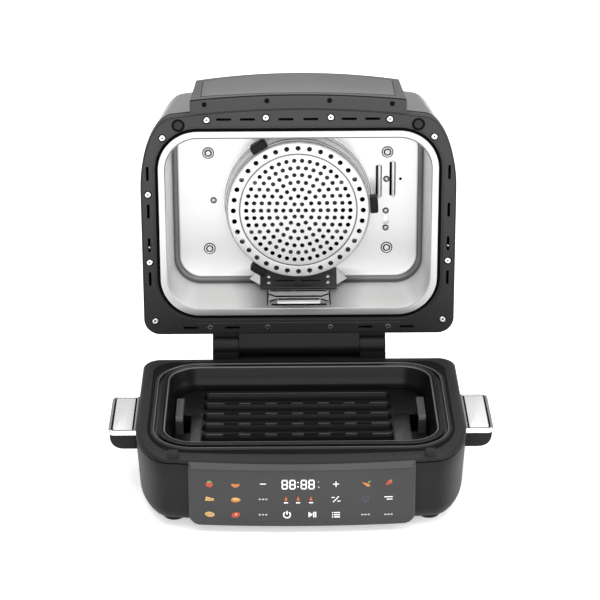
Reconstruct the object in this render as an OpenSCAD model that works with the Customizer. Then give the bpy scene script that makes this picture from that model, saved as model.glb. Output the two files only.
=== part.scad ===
// Air fryer grill: a countertop cooker with a hinged lid, drawn with the lid open.
// Millimetres, +Z up, the front faces -Y. The lid is modelled closed and turned open about its hinge.

/* [Overall] */
// Width of the body over its widest seam
body_w = 359; // [330:1:390]
// Depth of the body at the same seam
body_d = 275; // [250:1:300]
// How far the front edge bows forward of its corners
front_bow = 15; // [8:0.5:18]
// Width of the front corners' rounding in plan
front_corner_r = 37; // [28:1:48]
// Length of the front corners' rounding, front to back
front_corner_l = 81; // [60:1:95]
// Radius of the rear corners in plan
rear_corner_r = 20; // [14:1:28]

/* [Base] */
// Height of the rubber feet
foot_h = 8; // [5:0.5:12]
// Radius of a foot
foot_r = 11; // [7:0.5:13]
// Distance of the feet from the middle plane
foot_x = 139; // [110:1:142]
// Place of the front feet
foot_front_y = -88; // [-92:1:-70]
// Place of the rear feet, far back because the open lid hangs there
foot_rear_y = 113; // [90:1:116]
// Height of the seam between housing and bezel
seam_z = 78; // [70:1:84]
// Wall of the plastic housings
wall = 2.4; // [1.6:0.1:3.5]
// How far the housing draws in at its lower edge
edge_in = 24; // [18:1:32]
// Height of that rounded lower edge
edge_h = 24; // [16:1:30]
// Draw-in of the housing's walls from the seam down to the rounded edge
base_draft = 3.5; // [1:0.5:6]
// Thickness of the bottom cover
cover_t = 2.5; // [2:0.1:4]
// Rise of the bezel above the seam
bezel_h = 6; // [6:0.5:10]
// Width of the bezel's rounded shoulder
bezel_in = 10; // [6:0.5:13]
// Width and length of a bottom vent slot
vent_w = 3; // [2:0.5:5]
// Length of a bottom vent slot
vent_len = 44; // [20:1:60]
// Number of bottom vent slots
vent_count = 9; // [3:1:13]

/* [Pot] */
// Half width of the well that the bezel leaves for the pot
well_hw = 158.5; // [154:0.5:162]
// Front edge of the well
well_front = -108; // [-112:0.5:-104]
// Rear edge of the well
well_rear = 111; // [106:0.5:114]
// Corner radius of the well
well_r = 46; // [36:1:54]
// Height of the pot's rim over the counter
rim_z = 88; // [84:0.5:92]
// Half width over the pot's rim
rim_hw = 149.4; // [144:0.2:150]
// Front of the pot's rim
rim_front = -98.6; // [-100:0.2:-92]
// Rear of the pot's rim
rim_rear = 101.8; // [96:0.2:102]
// Corner radius of the pot's rim
rim_r = 36; // [26:1:44]
// Width of the rolled rim
rim_w = 4; // [3:0.2:6]
// Height of the rolled rim
rim_h = 4; // [3:0.2:6]
// Sheet of the pot
pot_t = 2; // [1.2:0.1:3]
// Height of the pot below its rim
pot_h = 60; // [48:1:64]
// Inward slope of the pot's walls
pot_draft = 5; // [2:0.5:8]
// Radius where the pot's wall meets its floor
pot_fillet = 14; // [8:1:18]

/* [Grill plate] */
// Depth of the plate's face under the pot's rim
plate_drop = 25; // [20:0.5:44]
// Thickness of the plate
plate_t = 4; // [3:0.2:6]
// Gap between the plate and the pot's wall
plate_gap = 2; // [1:0.2:4]
// Number of ridges
ridge_count = 6; // [4:1:6]
// Distance from ridge to ridge
ridge_pitch = 27; // [20:0.1:30]
// Length of a ridge
ridge_len = 206; // [150:1:210]
// Width of a ridge at its foot
ridge_w = 11; // [7:0.5:14]
// Width of a ridge at its top
ridge_top_w = 6; // [3:0.5:7]
// Height of a ridge over the plate
ridge_h = 7; // [4:0.5:9]
// Length of a notch in a ridge's front edge
notch_len = 14; // [8:0.5:16]
// Depth of a notch into the ridge's top
notch_h = 3; // [1.5:0.5:4]
// Distance from notch to notch along a ridge
notch_pitch = 28.4; // [24:0.1:32]
// Number of notches in a ridge
notch_count = 7; // [4:1:7]
// Distance of a lift handle's middle from the plate's side edge
lift_in = 8; // [4:0.1:10]
// Width of the cut-out under a lift handle
lift_slot_w = 18; // [9:0.5:22]
// Length of a lift handle's foot
lift_post = 5; // [3:0.5:8]
// Distance of the plate's legs from its side edges
leg_in = 34; // [20:1:50]
// Radius of a leg
leg_r = 4; // [2.5:0.5:6]
// Length of a lift handle
lift_len = 56; // [40:1:64]
// Width of a lift handle
lift_w = 7; // [5:0.5:9]
// Height of a lift handle over the plate
lift_h = 20; // [14:0.5:36]
// Thickness of a lift handle's strip
lift_t = 2.4; // [1.6:0.2:3.5]

/* [Control panel] */
// Width of the panel
panel_w = 245; // [220:1:250]
// Lower edge of the panel
panel_z0 = 8.5; // [8:0.5:14]
// Upper edge of the panel
panel_z1 = 82; // [76:0.5:84]
// Corner radius of the panel's lower corners
panel_r = 12; // [6:0.5:18]
// Radius of the panel's bow in plan
panel_bow_r = 1200; // [1000:10:1600]
// How far the panel stands proud of the housing
panel_proud = 4; // [2:0.5:6]
// Thickness of the panel
panel_t = 3; // [2:0.2:4]
// Width of the display window
display_w = 44; // [30:1:60]
// Height of the display window
display_h = 14; // [8:0.5:18]
// Height of the display's middle over the counter
display_z = 57; // [50:0.5:62]
// Depth of the display behind the panel's face
display_t = 2; // [1:0.1:2.4]
// Thickness of the circuit boards
board_t = 1.6; // [1:0.1:2]
// Length of the posts behind the panel that carry the control board
post_len = 6; // [4:0.5:9]
// Margin of the control board inside the panel
board_margin = 12; // [8:0.5:20]
// Radius of the boards' posts
post_r = 2.5; // [1.5:0.1:4]
// Width of the power board
power_w = 110; // [80:1:140]
// Left edge of the power board
power_x = -80; // [-90:1:-40]
// Height of the tallest component on a board
part_h = 10; // [6:0.5:14]

/* [Side handles] */
// How far a side handle reaches out of the body
handle_out = 31; // [24:0.5:36]
// Length of a side handle front to back
handle_len = 93; // [60:1:100]
// Place of the handles' middle front to back
handle_y = 3.5; // [-20:1:20]
// Underside of the handle's grip
handle_z0 = 53; // [46:0.5:56]
// Height of the grip
grip_h = 17; // [12:0.5:20]
// Thickness of the bright trim over the grip
trim_t = 5; // [3:0.2:6]
// Radius of the trim's outer corners
trim_r = 8; // [4:0.5:12]
// Width of the trim's rim round its inlay
trim_rim = 3.5; // [2:0.2:6]
// Thickness of the inlay plate
inlay_t = 1; // [0.6:0.1:2]
// Radius of the grip's lower outer edge
grip_r = 16; // [8:0.5:16]

/* [Hinge] */
// Height of the hinge axis over the counter
hinge_z = 92; // [90:0.5:98]
// Distance of the hinge axis behind the lid frame's rear edge
hinge_back = 15.4; // [13:0.1:18]
// Angle of the open lid from closed
lid_open = 91; // [80:0.5:100]
// Radius of the hinge barrel and knuckles
barrel_r = 11; // [8:0.1:12]
// Overall width of the hinge
hinge_w = 200; // [150:1:220]
// Width of one end knuckle
knuckle_w = 30; // [20:1:40]
// Side play between barrel and knuckles
hinge_play = 0.4; // [0.3:0.05:1]
// Radius of the hinge pins
pin_r = 3; // [2:0.1:4]
// Running clearance of pins and shafts
run_gap = 0.05; // [0.02:0.01:0.08]
// Wall of the hinge bushes
bush_t = 2; // [1.2:0.1:3]
// Length of a hinge bush
bush_len = 14; // [8:0.5:20]

/* [Lid] */
// Width of the lid frame
lid_w = 358; // [330:1:388]
// Depth of the lid frame
lid_d = 273; // [250:1:290]
// How far the lid's front edge stands behind the same distance from its middle as the rear edge
lid_back = 1.3; // [0:0.1:3]
// Gap between the pot's rim and the closed lid's frame
lid_gap = 0.8; // [0.5:0.1:2]
// Width of the rounding of the lid frame's front corners
lid_front_r = 36; // [28:1:48]
// Length of the rounding of the lid frame's front corners, front to back
lid_front_l = 81; // [60:1:95]
// Radius of the lid frame's rear corners
lid_rear_r = 19; // [12:1:28]
// Thickness of the lid frame's face
face_t = 3; // [2:0.2:4]
// Height of the lid frame's skirt
skirt_h = 14; // [10:0.5:20]
// Height of the lid over its frame plane
lid_h = 118; // [112:1:126]
// Rounding of the shell's top edge
shell_r = 22; // [16:1:60]
// Inward slope of the shell's side and rear walls
shell_draft = 12; // [1:0.5:14]
// Inward slope of the shell's front wall
front_draft = 1; // [1:0.5:8]
// Sheet of the steel shell
shell_t = 0.6; // [0.5:0.1:1.5]
// Width of a frame slot
frame_slot_w = 1.8; // [1:0.1:3]
// Length of a frame slot
frame_slot_len = 16; // [10:0.5:20]
// Distance of the frame's screws and slots from its outer edge
frame_row = 8.5; // [7:0.1:9.5]
// Distance from screw to screw along the frame's front and rear
screw_step = 66.2; // [60:0.2:72]
// Place of the front screw at the frame's left side
side_front_y = -32.5; // [-40:0.5:-25]
// Place of the rear screw at the frame's sides
side_rear_y = 46.7; // [40:0.5:55]
// Radius of a frame screw's head
frame_head_r = 3.5; // [2:0.1:3.8]
// Radius of a frame screw's shank
frame_shank_r = 1.4; // [1:0.1:1.8]
// Radius of the rubber bumpers
bumper_r = 7; // [5:0.5:8]
// Distance of the outlet slots from the lid's frame
outlet_z = 16; // [10:0.5:22]
// Width of an outlet slot at the lid's rear
outlet_w = 4; // [2:0.5:6]
// Height of an outlet slot at the lid's rear
outlet_h = 26; // [14:1:34]
// Margin of the outlet grille round its slots
outlet_margin = 6; // [3:0.5:9]
// Number of outlet slots at the lid's rear
outlet_count = 13; // [5:2:17]

/* [Liner] */
// Half width of the liner over its flange
liner_hw = 158.4; // [156:0.2:160]
// Front of the liner's flange
liner_front = -108.2; // [-110:0.2:-104]
// Rear of the liner's flange
liner_rear = 112.6; // [108:0.2:114]
// Corner radius of the liner's flange
liner_r = 45; // [38:1:52]
// Width of the liner's flange
flange_w = 6.8; // [5:0.2:8]
// Depth of the liner's cavity
cavity_h = 79; // [70:1:84]
// Inward slope of the cavity's walls
cavity_draft = 2.5; // [1:0.5:5]
// Radius where the cavity's walls meet its roof
cavity_fillet = 8; // [5:0.5:12]
// Sheet of the liner
liner_t = 0.6; // [0.5:0.1:1.2]
// Radius of the heads of the roof's screws
liner_head_r = 4.5; // [3:0.1:5]
// Width of the black gasket round the liner
gasket_w = 3; // [2:0.2:4]

/* [Fan and heater] */
// Depth of the fan guard's face under the lid frame's plane
guard_depth = 43; // [38:0.5:48]
// Radius of the guard's face
guard_r = 82; // [74:0.5:84]
// Sheet of the guard
guard_t = 0.8; // [0.5:0.1:1.2]
// Height of the guard's side wall
guard_h = 16; // [10:0.5:20]
// Radius of the small holes
hole_r = 2.65; // [1.8:0.05:3]
// Distance from ring to ring of the small holes
hole_pitch = 8.6; // [7:0.1:9]
// Number of rings of small holes
hole_rings = 7; // [4:1:7]
// Radius of the large holes
edge_hole_r = 3; // [2:0.1:3.4]
// Radius of the circle of large holes
edge_ring_r = 75; // [70:0.5:76]
// Number of large holes
edge_holes = 36; // [24:1:40]
// Gap between the guard and its shroud ring
shroud_gap = 0.4; // [0.2:0.1:1]
// Sheet of the shroud ring
shroud_t = 1; // [0.6:0.1:2]
// Width of a guard clip
clip_w = 19; // [10:0.5:20]
// Height of a guard clip
clip_h = 14; // [8:0.5:18]
// How far a guard clip stands out of the shroud
clip_out = 9; // [4:0.5:11]
// Radius of the heating coil's tube
coil_tube_r = 3.3; // [2.5:0.1:4]
// Radius of the coil's outer turn
coil_r = 70; // [60:0.5:72]
// Distance between the coil's turns
coil_step = 14; // [10:0.5:18]
// Depth of the coil's middle under the lid frame's plane
coil_depth = 56; // [54:0.5:57]
// Radius of the convection fan
fan_r = 60; // [45:0.5:62]
// Number of fan blades
fan_blades = 10; // [6:1:16]
// Height of the convection fan's blades
fan_h = 12; // [8:0.5:12]
// Radius of the motor shaft
shaft_r = 3; // [2:0.1:4]
// Radius of the fans' hubs
hub_r = 8; // [6:0.5:11]
// Radius of the cooling fan
cool_r = 40; // [30:0.5:44]
// Height of the cooling fan
cool_h = 8; // [5:0.5:10]
// Radius of the motor
motor_r = 28; // [20:0.5:34]
// Height of the motor
motor_h = 17; // [12:0.5:18]

/* [Lamp] */
// Width of the lamp's lens
lamp_w = 72; // [50:1:90]
// Height of the lamp's lens
lamp_h = 45; // [24:0.5:48]
// Distance of the lens from the lid frame's plane
lamp_z0 = 16; // [9:0.5:18]
// Thickness of the lens
lens_t = 3.6; // [2:0.1:3.8]
// Depth of the lamp's housing
lamp_depth = 18; // [12:0.5:19]
// Margin of the lamp's housing round the lens
lamp_margin = 4; // [2:0.5:6]
// Radius of the lamp's bulb
bulb_r = 5; // [3:0.5:6]
// Half width of the sloping hood over the lens
hood_hw = 45; // [38:0.5:50]
// Length of the hood along the cavity's roof
hood_run = 15.7; // [8:0.1:20]
// Height of the hood's slope along the cavity's rear wall
hood_drop = 9; // [5:0.1:12]
// Sheet of the hood
hood_t = 1.2; // [0.8:0.1:2]
// Length of the facets at the hood's ends
hood_facet = 12.6; // [6:0.1:16]

/* [Sensor cover] */
// Width of a louvre beside the roof screws
louvre_w = 4; // [2:0.5:5]
// Length of the inner louvre
louvre_len = 41; // [24:1:44]
// Length of the outer louvre
louvre_outer_len = 45; // [24:1:48]
// Distance of the inner louvre from the line of the roof screws
louvre_inner_x = 11; // [10:0.5:12]
// Distance of the outer louvre from the same line
louvre_outer_x = 5; // [4.6:0.1:8]
// Length of the sensor's tab
tab_len = 22; // [10:1:26]

/* [Lid handle] */
// Width of the handle at the frame
grab_w = 240; // [200:1:250]
// How much narrower the handle is at its top
grab_taper = 5; // [2:0.5:24]
// Height of the handle
grab_h = 97; // [50:0.5:100]
// How much lower the handle's top edge is at its ends
grab_crown = 10; // [0:0.5:16]
// How far the handle stands in front of the lid
grab_out = 14.3; // [13:0.1:24]
// Thickness of the handle's wall
grab_t = 4.5; // [3:0.1:6]
// Radius of the handle's bow in plan
grab_bow_r = 1200; // [900:10:1500]
// Thickness of the handle's inset panel
grab_panel_t = 1.2; // [0.8:0.1:2]
// Margin round the handle's inset panel
grab_margin = 11; // [8:0.5:18]

/* [Hidden] */
// Steps of each rounded corner and along the bowed front of a lofted outline
corner_steps = 8;
front_steps = 8;
// Steps of a rounded edge of a lofted shell
edge_steps = 5;
$fn = 48;

body_hw = body_w / 2;
body_rear = body_d / 2;
// The front edge at the corners: the bow brings its middle to the full depth
body_front = -body_d / 2 + front_bow;
bezel_z = seam_z + bezel_h;
lid_hw = lid_w / 2;
lid_rear = lid_d / 2;
lid_front = -lid_d / 2 + front_bow + lid_back;
// The lid handle's foremost line
grab_y = lid_front - front_bow - grab_out;
lid_z = rim_z + lid_gap;
hinge_y = lid_rear + hinge_back;
liner_mid = (liner_front + liner_rear) / 2;
roof_z = lid_z + cavity_h;
guard_z = lid_z + guard_depth;
// The open part reaches from the control panel's face to the crown of the open lid, and is centred on the origin
panel_face = body_front - front_bow - panel_proud;
crown_front = lid_front - front_bow + front_draft + shell_r;
open_rear = hinge_y + (lid_z + lid_h - hinge_z) * sin(lid_open) - (hinge_y - crown_front) * cos(lid_open);
centre_y = -(panel_face + open_rear) / 2;
// The rear of the housing draws in less than its other sides
rear_share = 0.35;
seat_gap = 0.3;

// Points of a quarter ellipse of radii rx and ry, from angle a0
function corner(cx, cy, rx, ry, a0) = [for (i = [0:corner_steps])
    [cx + rx * cos(a0 + 90 * i / corner_steps), cy + ry * sin(a0 + 90 * i / corner_steps)]];

// The same points, begun half way round the first corner so that no cap starts on a straight edge
function turned(pts) = [for (i = [0:len(pts) - 1]) pts[(i + floor(corner_steps / 2)) % len(pts)]];

// Rounded outline, counter-clockwise: half width, front and rear edge, and corner radii.
// Its front bows forward, and its front corners are lf long where that is more than their radius.
function outline(hw, front, rear, rf, rr, bow = 0, lf = 0) = let (l = max(lf, rf)) turned([for (p = concat(
        corner(hw - rf, front + l, rf, l, -90), corner(hw - rr, rear - rr, rr, rr, 0),
        corner(rr - hw, rear - rr, rr, rr, 90), corner(rf - hw, front + l, rf, l, 180),
        [for (i = [1:front_steps - 1]) [(hw - rf) * (2 * i / front_steps - 1), front]]))
    [p[0], p[1] - bow * (1 - pow(p[0] / hw, 2)) * max(0, min(1, (front + l - p[1]) / l))]]);

// The same outline as a ring of points at height z
function ring(pts, z) = [for (p = pts) [p[0], p[1], z]];

// The body's outline drawn in by d and a wall of t, and the lid's
function body_ring(d, z, t = 0) = ring(outline(body_hw - d - t, body_front + d + t, body_rear - rear_share * d - t,
    max(front_corner_r - d - t, 4), max(rear_corner_r - rear_share * d - t, 3), front_bow, front_corner_l - d - t), z);
function bezel_ring(d, z) = ring(outline(body_hw - d, body_front + d, body_rear - d,
    max(front_corner_r - d, 4), max(rear_corner_r - d, 3), front_bow, front_corner_l - d), z);
function shell_ring(d, front_d, z) = ring(outline(lid_hw - d, lid_front + front_d, lid_rear - d,
    max(lid_front_r - 0.2 * d, 4), max(lid_rear_r - d, 3), front_bow, lid_front_l - d), z);
function well_ring(d, z) = ring(outline(well_hw - d, well_front + d, well_rear - d, well_r - d, well_r - d), z);
function rim_ring(d, z) = ring(outline(rim_hw - d, rim_front + d, rim_rear - d, rim_r - d, rim_r - d), z);
function liner_ring(d, z) = ring(outline(liner_hw - d, liner_front + d, liner_rear - d, liner_r - d, liner_r - d), z);

// Side faces between ring i and ring j of n points each
function side(i, j, n) = [for (k = [0:n - 1]) let (k2 = (k + 1) % n)
    each [[i * n + k, j * n + k, j * n + k2], [i * n + k, j * n + k2, i * n + k2]]];

// Solid through a row of rings, closed at its first and last ring
module loft(rings) {
    n = len(rings[0]);
    m = len(rings);
    polyhedron(points = [for (r = rings) each r], faces = concat([[for (k = [0:n - 1]) k]],
        [for (i = [0:m - 2]) each side(i, i + 1, n)], [[for (k = [n - 1:-1:0]) (m - 1) * n + k]]));
}

// Solid through a closed row of rings, such as an open-ended shell
module sleeve(rings) {
    n = len(rings[0]);
    m = len(rings);
    polyhedron(points = [for (r = rings) each r], faces = [for (i = [0:m - 1]) each side(i, (i + 1) % m, n)]);
}

// True rounded rectangle from x0, y0 to x1, y1
module rounded(x0, y0, x1, y1, r) {
    translate([x0 + r, y0]) square([x1 - x0 - 2 * r, y1 - y0]);
    translate([x0, y0 + r]) square([x1 - x0, y1 - y0 - 2 * r]);
    for (x = [x0 + r, x1 - r], y = [y0 + r, y1 - r]) translate([x, y]) circle(r);
}

// Outline of the lid frame drawn in by d
module lid_plan(d = 0) {
    polygon(outline(lid_hw - d, lid_front + d, lid_rear - d, lid_front_r - d, lid_rear_r - d, front_bow, lid_front_l - d));
}

module liner_plan(grow) {
    rounded(-liner_hw - grow, liner_front - grow, liner_hw + grow, liner_rear + grow, liner_r + grow);
}

// Centres the open part on the origin
module placed() {
    translate([0, centre_y, 0]) children();
}

// Turns a piece of the closed lid to the open lid
module lid_pose() {
    translate([0, hinge_y + centre_y, hinge_z]) rotate([-lid_open, 0, 0]) translate([0, -hinge_y, -hinge_z]) children();
}

// Base

function housing_in(k) = base_draft + edge_in * (1 - sin(90 * k / edge_steps));
function housing_z(k) = foot_h + edge_h * (1 - cos(90 * k / edge_steps));

module base_housing() {
    color("#26272a") placed() difference() {
        sleeve(concat([for (k = [0:edge_steps]) body_ring(housing_in(k), housing_z(k))],
            [body_ring(0, seam_z), body_ring(0, seam_z, wall)],
            [for (k = [edge_steps:-1:0]) body_ring(housing_in(k), housing_z(k), wall)]));
        translate([0, 0, panel_z0]) panel_prism(panel_z1 - panel_z0, 0.2);
        translate([gland_x, body_rear, gland_z]) rotate([90, 0, 0]) cylinder(r = gland_r, h = 6 * wall, center = true);
    }
}

module base_bottom_cover() {
    color("#1f2022") placed() difference() {
        loft([body_ring(housing_in(0), foot_h, wall), body_ring(housing_in(0), foot_h + cover_t, wall)]);
        for (i = [0:vent_count - 1])
            translate([(i - (vent_count - 1) / 2) * 3 * vent_w, 0, foot_h]) cube([vent_w, vent_len, 3 * cover_t], center = true);
        for (s = [-1, 1], y = [screw_front_y, screw_rear_y]) translate([s * screw_x, y, foot_h - 1]) cylinder(r = screw_r, h = cover_t + 2);
    }
}
screw_x = 112;
screw_front_y = -82;
screw_rear_y = 104;
screw_r = 2;
gland_x = -118;
gland_z = 38;
gland_r = 8;

module cover_screws() {
    color("#8d8f92") placed() for (s = [-1, 1], y = [screw_front_y, screw_rear_y]) translate([s * screw_x, y, foot_h]) {
        cylinder(r = screw_r, h = cover_t + 5);
        translate([0, 0, -1.4]) cylinder(r = 2 * screw_r, h = 1.4);
    }
}

module rubber_feet() {
    color("#17181a") placed() for (s = [-1, 1], y = [foot_front_y, foot_rear_y]) translate([s * foot_x, y, 0]) {
        cylinder(r = foot_r - 1, h = foot_h);
        translate([0, 0, 1]) cylinder(r = foot_r, h = foot_h - 1);
    }
}

module bezel_body() {
    function bezel_in_at(k) = bezel_in * (1 - cos(90 * k / edge_steps));
    function bezel_z_at(k) = seam_z + bezel_h * sin(90 * k / edge_steps);
    sleeve(concat([for (k = [0:edge_steps]) bezel_ring(bezel_in_at(k), bezel_z_at(k))],
        [well_ring(-lip_w, lip_z - 1), well_ring(-1, lip_z), well_ring(0, lip_z - 1), well_ring(0, shield_z), well_ring(-wall, shield_z)],
        [well_ring(-wall, lip_z - 1 - wall), bezel_ring(bezel_in + wall, bezel_z - wall), bezel_ring(wall, seam_z)]));
}

module top_bezel() {
    color("#2b2c2f") placed() difference() {
        bezel_body();
        translate([0, 0, panel_z0]) panel_prism(panel_z1 - panel_z0, 0.2);
    }
}
lip_w = 4;
lip_z = rim_z - 1;
shield_z = rim_z - rim_h - seat_gap - 1;
shield_t = 1;

module heat_shield_bowl() {
    gap = 1.5;
    top = rim_w + gap;
    low = rim_w + pot_draft - 1;
    floor_z = rim_z - pot_h - 3;
    color("#b9bcc0") placed() loft([rim_ring(low + pot_fillet, floor_z - shield_t), rim_ring(low + 3, floor_z + 3),
        rim_ring(low - shield_t, floor_z + pot_fillet), rim_ring(rim_w - gap - shield_t, shield_z - 1),
        well_ring(-wall, shield_z - 1), well_ring(-wall, shield_z), well_ring(0, shield_z), well_ring(0.5, shield_z),
        well_ring(0.5, shield_z + 1), rim_ring(rim_w - gap, shield_z + 1), rim_ring(low, floor_z + pot_fillet),
        rim_ring(low + 4, floor_z + 3.5), rim_ring(low + pot_fillet, floor_z)]);
}

// Prism of the panel's plan, h high, grown by g: its face follows an arc in short steps
module panel_prism(h, g = 0) {
    hw = panel_w / 2 + g;
    r = panel_bow_r + g;
    back = panel_face + panel_box_d;
    translate([0, 0, -g]) linear_extrude(h + 2 * g) polygon(concat([[hw, back], [-hw, back]],
        [for (i = [0:panel_steps]) let (x = hw * (2 * i / panel_steps - 1)) [x, panel_face + panel_bow_r - sqrt(r * r - x * x)]]));
}
panel_steps = 24;
panel_box_d = 21;

// Front view of the panel drawn in by d: rounded lower corners, open upwards
module panel_front(d) {
    rotate([90, 0, 0]) linear_extrude(4 * body_d, center = true)
        rounded(-panel_w / 2 + d, panel_z0 + d, panel_w / 2 - d, panel_z1 + 2 * panel_r, panel_r - d);
}

module control_panel() {
    color("#1b1c1e") placed() difference() {
        intersection() {
            translate([0, 0, panel_z0]) panel_prism(panel_z1 - panel_z0);
            panel_front(0);
        }
        intersection() {
            translate([0, panel_t, panel_z0]) panel_prism(panel_z1 - panel_z0 - panel_t);
            panel_front(panel_t);
        }
        translate([-display_w / 2, panel_face - 1, display_z - display_h / 2]) cube([display_w, display_t + 1, display_h]);
    }
}

module led_display() {
    color("#3a0f10") placed() intersection() {
        translate([0, 0, panel_z0]) panel_prism(panel_z1 - panel_z0);
        translate([-display_w / 2, panel_face, display_z - display_h / 2]) cube([display_w, display_t, display_h]);
    }
}

module control_board() {
    y = panel_face + panel_t + post_len;
    w = panel_w - 5 * board_margin;
    h = panel_z1 - panel_z0 - 2 * board_margin;
    x0 = w / 2 - 3 * post_r;
    color("#1d5a35") placed() {
        translate([-w / 2, y, panel_z0 + board_margin]) cube([w, board_t, h]);
        for (s = [-1, 1], z = [panel_z0 + board_margin + 2 * post_r, panel_z1 - board_margin - 2 * post_r])
            translate([s * x0, y, z]) rotate([90, 0, 0]) cylinder(r = post_r, h = post_len - x0 * x0 / (2 * panel_bow_r) - 0.1);
        translate([-w / 3, y + board_t, panel_z0 + 1.6 * board_margin]) cube([w / 8, part_h / 3, h / 2]);
        translate([w / 9, y + board_t, panel_z0 + 1.8 * board_margin]) cube([w / 11, part_h / 2.5, h / 4]);
    }
}

// Inner face of the housing's rear wall at height z
function rear_inner(z) = body_rear - wall - rear_share * base_draft * (seam_z - z) / (seam_z - foot_h - edge_h);

module power_board() {
    y = body_rear - wall - post_len;
    z0 = foot_h + edge_h;
    z1 = seam_z - board_margin;
    h = z1 - z0;
    color("#8a6a33") placed() {
        translate([power_x, y - board_t, z0]) cube([power_w, board_t, h]);
        for (x = [power_x + 2 * post_r, power_x + power_w - 2 * post_r], z = [z0 + 2 * post_r, z1 - 2 * post_r])
            translate([x, y, z]) rotate([-90, 0, 0]) cylinder(r = post_r, h = rear_inner(z) - y - 0.1);
        translate([power_x + power_w * 0.1, y - board_t - part_h, z0 + h * 0.15]) cube([power_w / 5, part_h, h * 0.65]);
        translate([power_x + power_w * 0.4, y - board_t - part_h * 0.8, z0 + h * 0.2]) cube([power_w / 7, part_h * 0.8, h / 2]);
        translate([power_x + power_w * 0.65, y - board_t - part_h * 0.9, z0 + h * 0.2]) cube([power_w / 4.5, part_h * 0.9, h * 0.4]);
    }
}

module cord_gland() {
    color("#151617") placed() translate([gland_x, body_rear, gland_z]) rotate([90, 0, 0]) difference() {
        union() {
            translate([0, 0, -3]) cylinder(r = gland_r + 3, h = 3);
            translate([0, 0, -1]) cylinder(r = gland_r, h = wall + 6);
        }
        translate([0, 0, -4]) cylinder(r = gland_r / 2, h = wall + 12);
    }
}

// Side handles: s is 1 on the right and -1 on the left

module grip_side(s) {
    out = body_hw + handle_out;
    color("#303134") placed() mirror([s < 0 ? 1 : 0, 0, 0]) translate([0, handle_y + handle_len / 2 - 2, 0])
        rotate([90, 0, 0]) linear_extrude(handle_len - 4) {
            translate([body_hw, handle_z0]) square([handle_out - grip_r - 2, grip_h]);
            translate([body_hw, handle_z0 + grip_r]) square([handle_out - 2, grip_h - grip_r]);
            intersection() {
                translate([out - grip_r - 2, handle_z0 + grip_r]) circle(grip_r);
                translate([body_hw, handle_z0]) square([handle_out, grip_h]);
            }
        }
}

module trim_plan(s, d) {
    out = body_hw + handle_out;
    mirror([s < 0 ? 1 : 0, 0, 0]) {
        translate([body_hw + d, handle_y - handle_len / 2 + d]) square([handle_out - trim_r - d, handle_len - 2 * d]);
        translate([body_hw + d, handle_y - handle_len / 2 + trim_r]) square([handle_out - 2 * d, handle_len - 2 * trim_r]);
        for (e = [-1, 1]) translate([out - trim_r, handle_y + e * (handle_len / 2 - trim_r)]) circle(trim_r - d);
    }
}

module trim_side(s) {
    z = handle_z0 + grip_h;
    color("#c9cbce") placed() difference() {
        translate([0, 0, z]) linear_extrude(trim_t) trim_plan(s, 0);
        translate([0, 0, z + trim_t - inlay_t]) linear_extrude(2 * inlay_t) trim_plan(s, trim_rim);
    }
}

module inlay_side(s) {
    color("#a9abae") placed() translate([0, 0, handle_z0 + grip_h + trim_t - inlay_t])
        linear_extrude(inlay_t) trim_plan(s, trim_rim + 0.1);
}

module left_handle_grip() {
    grip_side(-1);
}
module right_handle_grip() {
    grip_side(1);
}
module left_handle_trim() {
    trim_side(-1);
}
module right_handle_trim() {
    trim_side(1);
}
module left_handle_inlay() {
    inlay_side(-1);
}
module right_handle_inlay() {
    inlay_side(1);
}

// Rubber blocks on the bezel under the closed lid's front corners, their undersides shaped to it
module lid_rest_blocks() {
    color("#141516") placed() difference() {
        for (s = [-1, 1]) translate([s * rest_x - rest_w / 2, rest_y - rest_w / 2, bezel_z - 0.75 * wall])
            cube([rest_w, rest_w, lid_z - bezel_z + 0.75 * wall - seat_gap]);
        translate([0, 0, 0.1]) bezel_body();
    }
}
rest_x = body_hw - 1.18 * front_corner_r;
rest_y = body_front + 2;
rest_w = 11;

// Hinge: two knuckles and a block on the base, a barrel with bushes on the lid and a pin at each end
module hinge_knuckles() {
    depth = hinge_y + barrel_r - body_rear;
    color("#1c1d1f") placed() {
        for (s = [-1, 1]) difference() {
            translate([s * (hinge_w - knuckle_w) / 2, 0, 0]) union() {
                translate([0, hinge_y, hinge_z]) rotate([0, 90, 0]) cylinder(r = barrel_r, h = knuckle_w, center = true);
                translate([-knuckle_w / 2, body_rear, knuckle_z0]) cube([knuckle_w, depth, lid_z - 2 * hinge_play - knuckle_z0]);
            }
            translate([0, hinge_y, hinge_z]) rotate([0, 90, 0]) cylinder(r = pin_r, h = 2 * hinge_w, center = true);
        }
        translate([-barrel_w / 2, body_rear, knuckle_z0]) cube([barrel_w, depth, hinge_z - barrel_r - 2 * hinge_play - knuckle_z0]);
    }
}
knuckle_z0 = 44;
pin_len = knuckle_w + bush_len;

module hinge_pins() {
    color("#b5b7ba") placed() for (s = [-1, 1])
        translate([s * (hinge_w / 2 - pin_len / 2), hinge_y, hinge_z]) rotate([0, 90, 0]) cylinder(r = pin_r, h = pin_len, center = true);
}

barrel_w = hinge_w - 2 * knuckle_w - 2 * hinge_play;

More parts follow.
